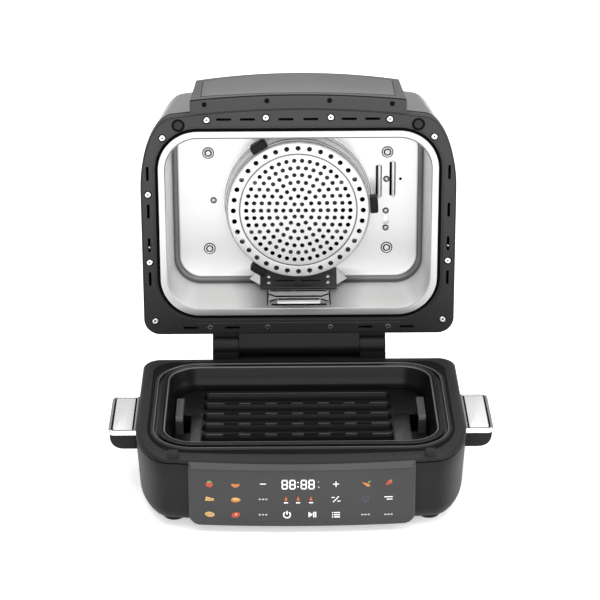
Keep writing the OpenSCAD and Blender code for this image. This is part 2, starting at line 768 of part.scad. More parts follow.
// The barrel's arm, and a strip of the same height over each knuckle
module hinge_barrel() {
    rise = hinge_z - lid_z + barrel_r;
    strip = knuckle_w;
    color("#232427") lid_pose() {
        difference() {
            union() {
                translate([0, hinge_y, hinge_z]) rotate([0, 90, 0]) cylinder(r = barrel_r, h = barrel_w, center = true);
                translate([-barrel_w / 2, lid_rear, lid_z]) cube([barrel_w, hinge_back, rise]);
            }
            translate([0, hinge_y, hinge_z]) rotate([0, 90, 0]) cylinder(r = pin_r + run_gap + bush_t, h = 2 * hinge_w, center = true);
        }
        for (s = [-1, 1]) translate([s * (hinge_w - strip) / 2 - strip / 2, lid_rear, lid_z])
            cube([strip, hinge_back - barrel_r - 2 * hinge_play, rise]);
    }
}

module hinge_bushes() {
    color("#b08d57") lid_pose() for (s = [-1, 1]) translate([s * (barrel_w - bush_len) / 2, hinge_y, hinge_z]) rotate([0, 90, 0]) difference() {
        cylinder(r = pin_r + run_gap + bush_t, h = bush_len, center = true);
        cylinder(r = pin_r + run_gap, h = 2 * bush_len, center = true);
    }
}

// Pot and grill plate

module cooking_pot() {
    low = rim_w + pot_draft;
    floor_z = rim_z - pot_h;
    function in_at(k) = pot_fillet * (1 - sin(90 * k / edge_steps));
    function z_at(k) = pot_fillet * (1 - cos(90 * k / edge_steps));
    color("#2a2b2d") placed() loft(concat([for (k = [0:edge_steps]) rim_ring(low + in_at(k), floor_z + z_at(k))],
        [rim_ring(rim_w, rim_z - rim_h), rim_ring(0.8, rim_z - rim_h), rim_ring(0, rim_z - rim_h + 1), rim_ring(0, rim_z - 1),
            rim_ring(1, rim_z), rim_ring(rim_w, rim_z - 0.4), rim_ring(rim_w + pot_t, rim_z - 2)],
        [for (k = [edge_steps:-1:0]) rim_ring(low + pot_t + in_at(k), floor_z + pot_t + z_at(k))]));
}

plate_z = rim_z - plate_drop;
// The pot's inner wall at the plate's level
plate_in = rim_w + pot_t + pot_draft * plate_drop / (pot_h - pot_fillet) + plate_gap;
plate_hw = rim_hw - plate_in;
plate_front = rim_front + plate_in;
plate_rear = rim_rear - plate_in;
plate_mid = (plate_front + plate_rear) / 2;
lift_x = plate_hw - lift_in;
leg_y = (plate_rear - plate_front) / 3;

// One ridge, with square notches along its front edge
module ridge() {
    difference() {
        union() {
            rotate([90, 0, 90]) linear_extrude(ridge_len - ridge_w, center = true) polygon([[-ridge_w / 2, 0], [ridge_w / 2, 0],
                [ridge_top_w / 2, ridge_h], [-ridge_top_w / 2, ridge_h]]);
            for (s = [-1, 1]) translate([s * (ridge_len - ridge_w) / 2, 0, 0])
                cylinder(r1 = ridge_w / 2, r2 = ridge_top_w / 2, h = ridge_h);
        }
        for (i = [0:notch_count - 1]) translate([(i - (notch_count - 1) / 2) * notch_pitch - notch_len / 2, -ridge_w, ridge_h - notch_h])
            cube([notch_len, ridge_w, 2 * notch_h]);
    }
}

module grill_plate() {
    color("#303133") placed() {
        difference() {
            translate([0, 0, plate_z - plate_t]) linear_extrude(plate_t)
                rounded(-plate_hw, plate_front, plate_hw, plate_rear, rim_r - plate_in + 4);
            for (s = [-1, 1]) translate([s * lift_x, plate_mid, plate_z]) cube([lift_slot_w, lift_len - 2 * lift_post, 3 * plate_t], center = true);
        }
        for (j = [0:ridge_count - 1])
            translate([0, plate_mid + (j - (ridge_count - 1) / 2) * ridge_pitch, plate_z]) ridge();
        for (s = [-1, 1], e = [-1, 1]) translate([s * (plate_hw - leg_in), plate_mid + e * leg_y, floor_top])
            cylinder(r = leg_r, h = plate_z - plate_t - floor_top);
    }
}
floor_top = rim_z - pot_h + pot_t + seat_gap;

module plate_lift_handles() {
    post = lift_post;
    color("#3d3e41") placed() for (s = [-1, 1]) translate([s * lift_x, plate_mid, plate_z]) {
        for (e = [-1, 1]) translate([-lift_w / 2, e * (lift_len - post) / 2 - post / 2, 0]) cube([lift_w, post, lift_h]);
        translate([-lift_w / 2, -lift_len / 2, lift_h - lift_t]) cube([lift_w, lift_len, lift_t]);
    }
}

// Lid

// Front edge of the lid frame at x
function front_edge(x) = lid_front - front_bow * (1 - pow(x / lid_hw, 2));
row_x = [for (k = [0.55, 1.55], s = [-1, 1]) s * k * screw_step];
frame_screw_places = concat([for (x = row_x) [x, front_edge(0.75 * x) + frame_row + 2]], [for (x = row_x) [x, lid_rear - frame_row]],
    [for (s = [-1, 1], p = [[lid_front_r * 0.73, lid_front + lid_front_l * 0.235], [frame_row, side_rear_y], [lid_rear_r * 0.7, lid_rear - lid_rear_r * 0.9]])
        [s * (lid_hw - p[0]), p[1]]], [[frame_row - lid_hw, side_front_y]]);
frame_slots_x = concat([for (k = [0.21, 0.86, 1.26], s = [-1, 1]) [s * k * screw_step, lid_front - 0.15 * front_bow]],
    [for (k = [1.16, 1.89], s = [-1, 1]) [s * k * screw_step, lid_rear - frame_row]]);
frame_slots_y = [for (s = [-1, 1], y = [-1.77, -0.35, 0.85, 2.1]) [s * (lid_hw - frame_row), -y * side_front_y]];
bumper_x = lid_hw - lid_front_r * 1.235;
bumper_y = lid_front + lid_front_l * 0.055;

module lid_frame() {
    color("#35363a") lid_pose() difference() {
        union() {
            translate([0, 0, lid_z]) linear_extrude(face_t) difference() {
                lid_plan(0);
                liner_plan(gasket_w);
            }
            translate([0, 0, lid_z]) linear_extrude(skirt_h) difference() {
                lid_plan(0);
                lid_plan(wall);
            }
        }
        for (p = frame_slots_x) translate([p[0], p[1], lid_z]) cube([frame_slot_len, frame_slot_w, 3 * face_t], center = true);
        for (p = frame_slots_y) translate([p[0], p[1], lid_z]) cube([frame_slot_w, frame_slot_len, 3 * face_t], center = true);
        for (p = frame_screw_places) translate([p[0], p[1], lid_z - 1]) {
            cylinder(r = frame_shank_r, h = face_t + 2);
            cylinder(r = frame_head_r, h = 2);
        }
        for (s = [-1, 1]) translate([s * bumper_x, bumper_y, lid_z - 1]) cylinder(r = bumper_r, h = 2.5);
    }
}

module frame_screws() {
    color("#d5d7da") lid_pose() for (p = frame_screw_places) translate([p[0], p[1], lid_z]) {
        translate([0, 0, 0.2]) cylinder(r = frame_head_r, h = 0.8);
        cylinder(r = frame_shank_r, h = face_t + 3);
    }
}

module lid_bumpers() {
    color("#161718") lid_pose() for (s = [-1, 1]) translate([s * bumper_x, bumper_y, lid_z]) difference() {
        cylinder(r = bumper_r, h = 1.5);
        translate([0, 0, -1]) cylinder(r = bumper_r / 2, h = 1.6);
    }
}

module lid_gasket() {
    color("#0f1011") lid_pose() translate([0, 0, lid_z]) linear_extrude(face_t + 1.5) difference() {
        liner_plan(gasket_w);
        liner_plan(0);
    }
}

function cavity_in(k) = flange_w + cavity_draft + cavity_fillet * (1 - cos(90 * k / edge_steps));
function cavity_z(k) = roof_z - cavity_fillet * (1 - sin(90 * k / edge_steps));

module lid_liner() {
    color("#d7d9db") lid_pose() difference() {
        loft(concat([for (k = [edge_steps:-1:0]) liner_ring(cavity_in(k), cavity_z(k))],
            [liner_ring(flange_w, lid_z + 1.5), liner_ring(flange_w - 1, lid_z), liner_ring(0, lid_z), liner_ring(0, lid_z + liner_t),
                liner_ring(flange_w - 1 - liner_t / 2, lid_z + liner_t), liner_ring(flange_w - liner_t, lid_z + 1.5 + liner_t)],
            [for (k = [0:edge_steps]) liner_ring(cavity_in(k) - liner_t * cos(90 * k / edge_steps), cavity_z(k) + liner_t * sin(90 * k / edge_steps))]));
        translate([0, fan_y, roof_z - 1]) cylinder(r = hub_r + 2, h = 4);
        for (s = [-1, 1]) translate([s * coil_leg_x, fan_y + coil_leg_y, roof_z - 1]) cylinder(r = coil_tube_r + 0.3, h = 4);
        translate([-lamp_w / 2, liner_rear - flange_w - lamp_depth / 2, lid_z + lamp_z0]) cube([lamp_w, lamp_depth, lamp_h]);
        for (p = liner_screw_places) translate([p[0], p[1], roof_z - 1]) cylinder(r = frame_shank_r + 0.2, h = 4);
    }
}
fan_y = liner_mid - 2;
coil_leg_x = 12;
// The legs stand on the outer turn
coil_leg_y = -sqrt(coil_r * coil_r - coil_leg_x * coil_leg_x);
roof_screw_x = 104;
roof_screw_y = 58.8;
liner_screw_places = [for (s = [-1, 1], e = [-1, 1]) [s * roof_screw_x, fan_y + e * roof_screw_y]];

module liner_screws() {
    color("#e2e4e6") lid_pose() for (p = liner_screw_places) translate([p[0], p[1], roof_z]) {
        translate([0, 0, -1.6]) cylinder(r = liner_head_r, h = 1.6);
        cylinder(r = frame_shank_r, h = 6);
    }
}

function edge_curve(k) = shell_r * (1 - cos(90 * k / edge_steps));
function shell_z(k) = lid_z + lid_h - shell_r * (1 - sin(90 * k / edge_steps));
// Ring k of the shell's rounded top, the sheet's thickness t further in
function top_ring(k, t) = shell_ring(shell_draft + edge_curve(k) + t * cos(90 * k / edge_steps),
    front_draft + edge_curve(k) + t * cos(90 * k / edge_steps), shell_z(k) - t * sin(90 * k / edge_steps));

module lid_shell() {
    low = lid_z + skirt_h;
    color("#c3c6c9") lid_pose() difference() {
        loft(concat([for (k = [edge_steps:-1:0]) top_ring(k, shell_t)],
            [shell_ring(shell_t, shell_t, low), shell_ring(0, 0, low)], [for (k = [0:edge_steps]) top_ring(k, 0)]));
        for (i = [0:outlet_count - 1]) translate([(i - (outlet_count - 1) / 2) * 2.4 * outlet_w, lid_rear, low + outlet_z + outlet_h / 2])
            cube([outlet_w, 8 * wall, outlet_h], center = true);
    }
}

module outlet_grille() {
    w = outlet_count * 2.4 * outlet_w + outlet_margin;
    slope = atan(shell_draft / (lid_h - shell_r - skirt_h));
    color("#1d1e20") lid_pose() translate([0, lid_rear - shell_t - 0.1, lid_z + skirt_h]) rotate([slope, 0, 0]) difference() {
        translate([-w / 2, -wall, outlet_z - outlet_margin]) cube([w, wall, outlet_h + 2 * outlet_margin]);
        for (i = [0:outlet_count - 1]) translate([(i - (outlet_count - 1) / 2) * 2.4 * outlet_w, 0, outlet_z + outlet_h / 2])
            cube([outlet_w, 8 * wall, outlet_h], center = true);
    }
}

// Lid handle: a bowed wall in front of the lid, closed below by a strip that meets the frame

module grab_band(inner, outer) {
    intersection() {
        difference() {
            translate([0, grab_y + grab_bow_r]) circle(grab_bow_r - outer, $fn = 360);
            translate([0, grab_y + grab_bow_r]) circle(grab_bow_r - inner, $fn = 360);
        }
        translate([-grab_w / 2, grab_y - 1]) square([grab_w, grab_out + lid_front_r]);
    }
}

// Front view of the handle, narrower and lower towards the ends of its top, drawn in by d
module grab_front(d) {
    low = grab_w / 2 - d;
    high = grab_w / 2 - grab_taper / 2 - d;
    rotate([90, 0, 0]) linear_extrude(4 * lid_d, center = true) polygon(concat([[-low, lid_z + d], [low, lid_z + d]],
        [for (i = [0:12]) let (k = 1 - i / 6) [high * k, lid_z + grab_h - d - grab_crown * k * k]]));
}

module lid_handle() {
    color("#4a4b4f") lid_pose() difference() {
        union() {
            intersection() {
                translate([0, 0, lid_z]) linear_extrude(grab_h) grab_band(grab_t, 0);
                grab_front(0);
            }
            translate([0, 0, lid_z]) linear_extrude(grab_t) difference() {
                intersection() {
                    translate([0, grab_y + grab_bow_r]) circle(grab_bow_r, $fn = 360);
                    translate([-grab_w / 2, grab_y - 1]) square([grab_w, grab_out + lid_front_r]);
                }
                lid_plan(0);
            }
            for (s = [-1, 1]) intersection() {
                translate([s * (grab_w / 2 - grab_taper / 2 - grab_t), grab_y + grab_t, lid_z]) translate([-grab_t / 2, 0, 0]) cube([grab_t, 1.4 * grab_out, grab_h * 0.6]);
                translate([0, 0, lid_z]) linear_extrude(skirt_h) difference() {
                    translate([-grab_w, grab_y]) square([2 * grab_w, 4 * grab_out]);
                    lid_plan(0);
                }
            }
        }
        intersection() {
            translate([0, 0, lid_z]) linear_extrude(grab_h) grab_band(grab_panel_t, -1);
            grab_front(grab_margin);
        }
        for (x = grab_screws) translate([x, grab_screw_y(x), lid_z - 1]) cylinder(r = 2.2, h = 2.5);
    }
}
grab_screws = [-105, -35, 35, 105];
function grab_screw_y(x) = grab_y + grab_out * 0.35 + x * x / (2 * grab_bow_r);

module handle_screws() {
    color("#2c2d2f") lid_pose() for (x = grab_screws) translate([x, grab_screw_y(x), lid_z + 0.5]) cylinder(r = 2.2, h = 1);
}

module lid_handle_panel() {
    color("#6a6b6f") lid_pose() intersection() {
        translate([0, 0, lid_z]) linear_extrude(grab_h) grab_band(grab_panel_t, 0.2);
        grab_front(grab_margin + 0.1);
    }
}

// Fan, guard and heater

module fan_axis(z = 0) {
    translate([0, fan_y, z]) children();
}

module fan_guard() {
    groove_r = hole_pitch * (hole_rings + 0.85);
    color("#dfe1e3") lid_pose() fan_axis(guard_z) {
        linear_extrude(guard_t) difference() {
            circle(guard_r - 2);
            circle(hole_r);
            for (n = [1:hole_rings], k = [0:6 * n - 1]) rotate(60 * k / n) translate([n * hole_pitch, 0]) circle(hole_r);
            for (k = [0:edge_holes - 1]) rotate(360 * k / edge_holes) translate([edge_ring_r, 0]) circle(edge_hole_r);
        }
        rotate_extrude() polygon([[guard_r - 2.6, 0], [guard_r - 2, 0], [guard_r, 2], [guard_r, guard_h], [guard_r - guard_t, guard_h],
            [guard_r - guard_t, 2.4], [guard_r - 2.6, guard_t]]);
        rotate_extrude() translate([groove_r, -0.4]) square([1, 0.5]);
    }
}

shroud_r = guard_r + shroud_gap;

module fan_shroud() {
    color("#cfd1d4") lid_pose() fan_axis() rotate_extrude() {
        translate([shroud_r, guard_z + 6]) square([shroud_t, roof_z - guard_z - 6]);
    }
}

module guard_clips() {
    color("#26272a") lid_pose() fan_axis() for (a = [3.3, 121, 238]) rotate([0, 0, -a])
        translate([shroud_r + shroud_t, -clip_w / 2, guard_z + 1]) cube([clip_out, clip_w, clip_h]);
}

module coil_solid(grow) {
    z = lid_z + coil_depth;
    fan_axis() {
        for (r = [coil_r, coil_r - coil_step]) translate([0, 0, z]) rotate_extrude() translate([r, 0]) circle(coil_tube_r + grow);
        translate([0, -coil_r, z]) rotate([-90, 0, 0]) cylinder(r = coil_tube_r + grow, h = coil_step);
        for (s = [-1, 1]) translate([s * coil_leg_x, coil_leg_y, z]) cylinder(r = coil_tube_r - 0.2 + grow, h = roof_z + 6 - z);
    }
}

module heating_coil() {
    color("#7d7168") lid_pose() coil_solid(0);
}

module coil_brackets() {
    z = lid_z + coil_depth;
    color("#b9bbbe") lid_pose() difference() {
        fan_axis() for (a = [30, 150, 210, 330]) rotate([0, 0, a]) {
            translate([coil_r + coil_tube_r + 1, -4, z - 5]) cube([3, 8, roof_z - z + 5]);
            translate([coil_r - coil_step - 6, -4, z - 5]) cube([coil_step + coil_tube_r + 8, 8, 9]);
        }
        coil_solid(0.1);
    }
}

fan_top = roof_z - 4;
shaft_z0 = fan_top - fan_h - 3;
cool_z = roof_z + liner_t + 4;
motor_z = cool_z + cool_h + 4;

module motor_shaft() {
    color("#a6a8ab") lid_pose() fan_axis(shaft_z0) cylinder(r = shaft_r, h = motor_z + motor_h - shaft_z0 - 2);
}

// Fan of straight blades under a disc, on a hub that fits the shaft
module fan_wheel(r, h, blades, hub, disc_t, pitch) {
    difference() {
        union() {
            cylinder(r = hub, h = h);
            translate([0, 0, h - disc_t]) cylinder(r = r, h = disc_t);
            for (k = [0:blades - 1]) rotate([0, 0, 360 * k / blades]) translate([hub - 1, 0, 0]) rotate([0, 0, pitch])
                cube([r * 0.9 - hub, 1.2, h - disc_t / 2]);
        }
        translate([0, 0, -1]) cylinder(r = shaft_r, h = h + 2);
    }
}

module convection_fan() {
    color("#9fa2a5") lid_pose() fan_axis(fan_top - fan_h) fan_wheel(fan_r, fan_h, fan_blades, hub_r, 1, 12);
}

module cooling_fan() {
    color("#2f3033") lid_pose() fan_axis(cool_z) fan_wheel(cool_r, cool_h, fan_blades, hub_r, 1, -12);
}

module motor_housing() {
    color("#8c8f93") lid_pose() fan_axis(motor_z) difference() {
        union() {
            translate([0, 0, 1.5]) cylinder(r = motor_r, h = motor_h - 3);
            cylinder(r = motor_r / 2, h = motor_h);
        }
        translate([0, 0, -1]) cylinder(r = shaft_r + run_gap, h = motor_h + 2);
    }
}

module motor_bracket() {
    span = cool_r + hub_r;
    half = 0.72 * motor_r;
    color("#a3a6aa") lid_pose() fan_axis() difference() {
        union() {
            translate([-span, -half, motor_z]) cube([2 * span, 2 * half, 1.5]);
            for (s = [-1, 1]) translate([s * span - 2, -half, roof_z + liner_t]) cube([4, 2 * half, motor_z + 1.5 - roof_z - liner_t]);
        }
        translate([0, 0, motor_z - 1]) cylinder(r = motor_r / 2, h = 4);
    }
}

// Lamp behind the cavity's rear wall, and the temperature sensor on its roof

lamp_y = liner_rear - flange_w + 1;

module lamp_glass() {
    color("#e8eef0") lid_pose() translate([-lamp_w / 2 + 0.2, lamp_y - lens_t, lid_z + lamp_z0 + 0.2]) cube([lamp_w - 0.4, lens_t, lamp_h - 0.4]);
}

// Sloping hood from the cavity's roof to the lens, with a small facet at each end
module lamp_hood() {
    y1 = liner_rear - flange_w - cavity_draft - 0.1;
    y0 = y1 - hood_run;
    z1 = roof_z - 0.1;
    z0 = z1 - hood_drop;
    edge = 0.32 * cavity_fillet;
    translate([-hood_hw, 0, 0]) rotate([90, 0, 90]) linear_extrude(2 * hood_hw) polygon([[y0, z1], [y1 - hood_t, z0],
        [y1 - hood_t, lid_z + lamp_z0 + lamp_h + 0.6], [y1, lid_z + lamp_z0 + lamp_h + 0.6], [y1, z0 + hood_t], [y0 + 2 * hood_t, z1]]);
    for (s = [0, 1]) mirror([s, 0, 0]) translate([hood_hw + 0.1, 0, 0]) polyhedron(
        points = [[0, y0, z1], [0, y1 - hood_t, z0], [hood_facet, y1 - edge, z1 - edge], [0, y1 - 1.4 * edge, z1 - 1.4 * edge]],
        faces = [[0, 2, 1], [0, 1, 3], [1, 2, 3], [2, 0, 3]]);
}

module lamp_bracket() {
    m = lamp_margin;
    color("#2a2b2d") lid_pose() {
        difference() {
            translate([-lamp_w / 2 - m, lamp_y, lid_z + lamp_z0 - m]) cube([lamp_w + 2 * m, lamp_depth, lamp_h + 2 * m]);
            translate([-lamp_w / 2 + m / 2, lamp_y - 1, lid_z + lamp_z0 + m / 2]) cube([lamp_w - m, lamp_depth, lamp_h - m]);
        }
        lamp_hood();
    }
}

module lamp_bulb() {
    color("#f2efe4") lid_pose() translate([0, lamp_y + lamp_depth / 2, lid_z + lamp_z0 + lamp_h / 2]) rotate([0, 90, 0])
        cylinder(r = bulb_r, h = lamp_w - lamp_margin, center = true);
}

module temp_sensor() {
    w = louvre_w;
    color("#e6e8ea") lid_pose() {
        translate([roof_screw_x - louvre_inner_x, fan_y - louvre_len, roof_z - w]) cube([w, louvre_len, w]);
        translate([roof_screw_x + louvre_outer_x, fan_y - louvre_outer_len, roof_z - w]) cube([w, louvre_outer_len, w]);
        translate([roof_screw_x - w, fan_y + w, roof_z - w / 2]) cube([1.5 * w, tab_len, w / 2]);
    }
}

base_housing();
base_bottom_cover();
top_bezel();
heat_shield_bowl();
control_panel();
led_display();
control_board();
power_board();
rubber_feet();
cover_screws();
cord_gland();
left_handle_grip();
right_handle_grip();
left_handle_trim();
right_handle_trim();
left_handle_inlay();
right_handle_inlay();
lid_rest_blocks();
hinge_knuckles();
hinge_pins();
cooking_pot();
grill_plate();
plate_lift_handles();
lid_frame();
lid_shell();
lid_liner();
lid_gasket();
lid_handle();
lid_handle_panel();
fan_guard();
guard_clips();
fan_shroud();
heating_coil();
coil_brackets();
motor_housing();
motor_bracket();
lamp_bracket();
lamp_glass();
lamp_bulb();
temp_sensor();
liner_screws();
frame_screws();
handle_screws();
lid_bumpers();
hinge_barrel();
hinge_bushes();
outlet_grille();
motor_shaft();
convection_fan();
cooling_fan();
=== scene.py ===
"""Air fryer grill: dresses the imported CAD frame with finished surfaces, finishes, light and a camera.

Sizes are in millimetres in the part's own frame: +Z up, the front faces -Y. The lid's pieces are worked out
closed and turned open about the hinge, as the CAD does.
"""
import logging
import math
from dataclasses import dataclass
from enum import Enum
from typing import Callable, ClassVar, Iterable, Sequence

import bmesh
import bpy
import numpy as np
from mathutils import Matrix, Vector


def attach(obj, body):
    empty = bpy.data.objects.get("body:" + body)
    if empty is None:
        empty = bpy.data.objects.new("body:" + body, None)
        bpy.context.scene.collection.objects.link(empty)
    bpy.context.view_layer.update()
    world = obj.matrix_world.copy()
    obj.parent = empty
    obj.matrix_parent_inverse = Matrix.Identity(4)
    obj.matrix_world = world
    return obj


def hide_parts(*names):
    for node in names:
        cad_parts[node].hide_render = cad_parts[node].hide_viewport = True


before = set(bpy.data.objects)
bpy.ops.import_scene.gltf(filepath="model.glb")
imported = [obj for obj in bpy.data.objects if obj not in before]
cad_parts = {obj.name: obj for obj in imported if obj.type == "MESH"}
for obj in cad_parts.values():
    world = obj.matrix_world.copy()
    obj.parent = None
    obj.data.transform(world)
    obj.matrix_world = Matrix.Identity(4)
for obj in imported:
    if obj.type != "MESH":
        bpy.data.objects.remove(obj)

log = logging.getLogger("air_fryer_grill")
Array = np.ndarray
Ring = Callable[[float], Array]
Colour = tuple[float, float, float]
Socket = bpy.types.NodeSocket
Place = tuple[float, float, float]
MM = 0.001
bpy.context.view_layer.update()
QUARTER = np.pi / 2
# Heights of the closed lid's underside and of its cavity's roof
LID_Z = 88.8
ROOF_Z = 167.8
# Radius at which turned profiles start, and the least radius of a drawn-in corner
AXIS = 0.05
LEAST_R = 0.02
# Most of a leg that its two eased corners take up
LEG_SHARE = 0.98
# Distance in metres within which a mesh's points are welded
WELD = 1e-7
# Degrees past which an edge stays sharp, on pieces and on cutters and the floor
CREASE = 35.0
CUTTER_CREASE = 30.0


class Body(Enum):
    """The CAD bodies that pieces ride on."""

    BASE = "base"
    POT = "pot"
    PLATE = "plate"
    LID = "lid"


class Side(Enum):
    """The two side handles, with the sign of their x."""

    LEFT = -1
    RIGHT = 1


# Surfaces


@dataclass
class Surface:
    """Points in millimetres, and faces in blocks that share a corner count."""

    verts: Array
    faces: list[Array]

    def volume(self) -> float:
        """Signed volume: v0 . (v1 x v2) / 6 summed over each face's fan of triangles."""
        total = 0.0
        for block in self.faces:
            p = self.verts[block]
            for k in range(1, block.shape[1] - 1):
                total += float(np.einsum("ij,ij->", p[:, 0], np.cross(p[:, k], p[:, k + 1]))) / 6
        return total

    def outward(self) -> "Surface":
        """The same closed surface with its faces turned outwards."""
        if self.volume() >= 0:
            return self
        return Surface(self.verts, [block[:, ::-1] for block in self.faces])

    def mapped(self, rule: Callable[[Array, Array, Array], Sequence[Array]]) -> "Surface":
        """The surface with each point (x, y, z) moved to rule(x, y, z).

        Args:
            rule: Takes the three coordinate arrays and returns the three new ones.

        Returns:
            The moved surface, its faces outwards.
        """
        x, y, z = self.verts.T
        return Surface(np.column_stack(rule(x, y, z)), self.faces).outward()

    def moved(self, x: float = 0.0, y: float = 0.0, z: float = 0.0) -> "Surface":
        """The surface shifted by x, y and z."""
        return Surface(self.verts + np.array([x, y, z]), self.faces)

    def copies(self, places: Iterable[Sequence[float]]) -> "Surface":
        """One copy of the surface at each place."""
        spots = np.array(list(places), float)
        steps = np.arange(len(spots)) * len(self.verts)
        verts = (self.verts[None] + spots[:, None]).reshape(-1, 3)
        return Surface(verts, [(b[None] + steps[:, None, None]).reshape(-1, b.shape[1])
                               for b in self.faces])

    @staticmethod
    def join(parts: Iterable["Surface"]) -> "Surface":
        """All the parts as one surface."""
        verts, faces, start = [], [], 0
        for part in parts:
            verts.append(part.verts)
            faces += [block + start for block in part.faces]
            start += len(part.verts)
        return Surface(np.concatenate(verts), faces)


def outline(hw: float, front: float, rear: float, rf: float, rr: float, bow: float = 0.0, corner: int = 14,
            edge: int = 10, length: float = 0.0) -> Array:
    """Rounded outline, counter-clockwise: quarter ellipses joined by straight edges, its front bowed forward.

    A front point moves by -bow * (1 - (x / hw)^2), faded out over the front corners.

    Args:
        hw: Half width.
        front: Front edge.
        rear: Rear edge.
        rf: Radius of the front corners.
        rr: Radius of the rear corners.
        bow: How far the front's middle stands forward.
        corner: Steps of a corner.
        edge: Points on a straight edge.
        length: Length of the front corners, where that is more than their radius.

    Returns:
        Points, one per row.
    """
    a = np.linspace(0, QUARTER, corner + 1)
    lf = max(length, rf)
    centres = [(hw - rf, front + lf, rf, lf), (hw - rr, rear - rr, rr, rr), (rr - hw, rear - rr, rr, rr),
               (rf - hw, front + lf, rf, lf)]
    arcs = [np.column_stack([x + rx * np.cos(a + (k - 1) * QUARTER),
                             y + ry * np.sin(a + (k - 1) * QUARTER)])
            for k, (x, y, rx, ry) in enumerate(centres)]
    f = np.linspace(0, 1, edge + 2)[1:-1, None]
    edges = [arcs[k][-1] * (1 - f) + arcs[(k + 1) % 4][0] * f for k in range(4)]
    pts = np.concatenate([p for pair in zip(arcs, edges) for p in pair])
    fade = np.clip((front + lf - pts[:, 1]) / lf, 0, 1)
    pts[:, 1] -= bow * (1 - (pts[:, 0] / hw) ** 2) * fade
    return pts


def box_ring(x0: float, y0: float, x1: float, y1: float, radii: Sequence[float] | float,
             corner: int = 6) -> Ring:
    """Rule for a rounded rectangle drawn in by d: quarter circles of radius r - d at its four corners.

    Args:
        x0: Left edge.
        y0: Front edge.
        x1: Right edge.
        y1: Rear edge.
        radii: Radii of the front right, rear right, rear left and front left corners, or one for all.
        corner: Steps of a corner.

    Returns:
        A function of d.
    """
    a = np.linspace(0, QUARTER, corner + 1)

    def ring(d: float) -> Array:
        """The rectangle drawn in by d."""
        r = np.maximum(np.broadcast_to(np.asarray(radii, float), (4,)) - d, LEAST_R)
        cx = [x1 - d - r[0], x1 - d - r[1], x0 + d + r[2], x0 + d + r[3]]
        cy = [y0 + d + r[0], y1 - d - r[1], y1 - d - r[2], y0 + d + r[3]]
        return np.concatenate([np.column_stack([cx[k] + r[k] * np.cos(a + (k - 1) * QUARTER),
                                                cy[k] + r[k] * np.sin(a + (k - 1) * QUARTER)])
                               for k in range(4)])

    return ring


def around(steps: int) -> Array:
    """Angles of a full turn in equal steps."""
    return np.linspace(0, 4 * QUARTER, steps, endpoint=False)


def round_ring(r: float, steps: int = 32) -> Ring:
    """Rule for a circle of radius r drawn in by d."""
    t = around(steps)
    return lambda d: (r - d) * np.column_stack([np.cos(t), np.sin(t)])


def shape_ring(points: Array) -> Ring:
    """Rule for any outline drawn in by d: its points move towards its middle by about d."""
    mid = points.mean(0)
    reach = np.linalg.norm(points - mid, axis=1).mean()
    return lambda d: mid + (points - mid) * (1 - d / reach)


def eased(points: Sequence[Sequence[float]], radii: Sequence[float] | float, steps: int = 5,
          closed: bool = False) -> Array:
    """Polyline with eased corners: corner P becomes (1-t)^2 A + 2t(1-t) P + t^2 B, A and B on its legs.

    Args:
        points: Corners of the polyline.
        radii: Distance of A and B from each corner, or one distance for all.
        steps: Steps of a corner.
        closed: Whether the last corner joins the first.

    Returns:
        Points of the eased line.
    """
    p = np.asarray(points, float)
    n = len(p)
    size = np.broadcast_to(np.asarray(radii, float), (n,)).copy()
    if not closed:
        size[[0, -1]] = 0
    t = np.linspace(0, 1, steps + 1)[:, None]
    out: list[Array] = []
    for k in range(n):
        if size[k] <= 0:
            out.append(p[k:k + 1])
            continue
        legs = [(p[j] - p[k], LEG_SHARE * size[k] / (size[k] + size[j])) for j in (k - 1, (k + 1) % n)]
        ends = [p[k] + leg * min(size[k] / np.linalg.norm(leg), share) for leg, share in legs]
        out.append((1 - t) ** 2 * ends[0] + 2 * t * (1 - t) * p[k] + t ** 2 * ends[1])
    return np.concatenate(out)


def loft(rows: Array, ring: bool = False) -> Surface:
    """Closed surface through a grid of points: quads join rows[i, j] to its neighbours, each row a loop.

    Args:
        rows: Points, indexed by row, place along the row and coordinate.
        ring: True where the last row joins the first; otherwise faces close the two ends.

    Returns:
        The surface, its faces outwards.
    """
    m, n = rows.shape[:2]
    idx = np.arange(m * n).reshape(m, n)
    low, high = (idx, np.roll(idx, -1, 0)) if ring else (idx[:-1], idx[1:])
    quads = np.stack([low, np.roll(low, -1, 1), np.roll(high, -1, 1), high], -1).reshape(-1, 4)
    ends = [] if ring else [idx[:1, ::-1], idx[-1:]]
    return Surface(rows.reshape(-1, 3), [quads, *ends]).outward()


def level(points: Array, z: float) -> Array:
    """An outline as points at height z."""
    return np.column_stack([points, np.full(len(points), z)])


def lifted(ring: Ring, section: Iterable[Sequence[float]]) -> Array:
    """Grid of outlines: row k is ring(d_k) at height z_k, for the section's pairs (d_k, z_k)."""
    return np.stack([level(ring(d), z) for d, z in section])


def slab(ring: Ring, z0: float, z1: float, low: float = 0.4, high: float = 0.4, steps: int = 3) -> Surface:
    """Plate with rounded edges: near a face the outline draws in by r (1 - sin a) at height r (1 - cos a).

    Args:
        ring: The plate's outline, drawn in by d.
        z0: Lower face.
        z1: Upper face.
        low: Radius of the lower edge.
        high: Radius of the upper edge.
        steps: Steps of an edge.

    Returns:
        The plate.
    """
    a = np.linspace(0, QUARTER, steps + 1)
    under = np.column_stack([low * (1 - np.sin(a)), z0 + low * (1 - np.cos(a))])
    over = np.column_stack([high * (1 - np.cos(a)), z1 - high * (1 - np.sin(a))])
    return loft(lifted(ring, np.concatenate([under, over])))


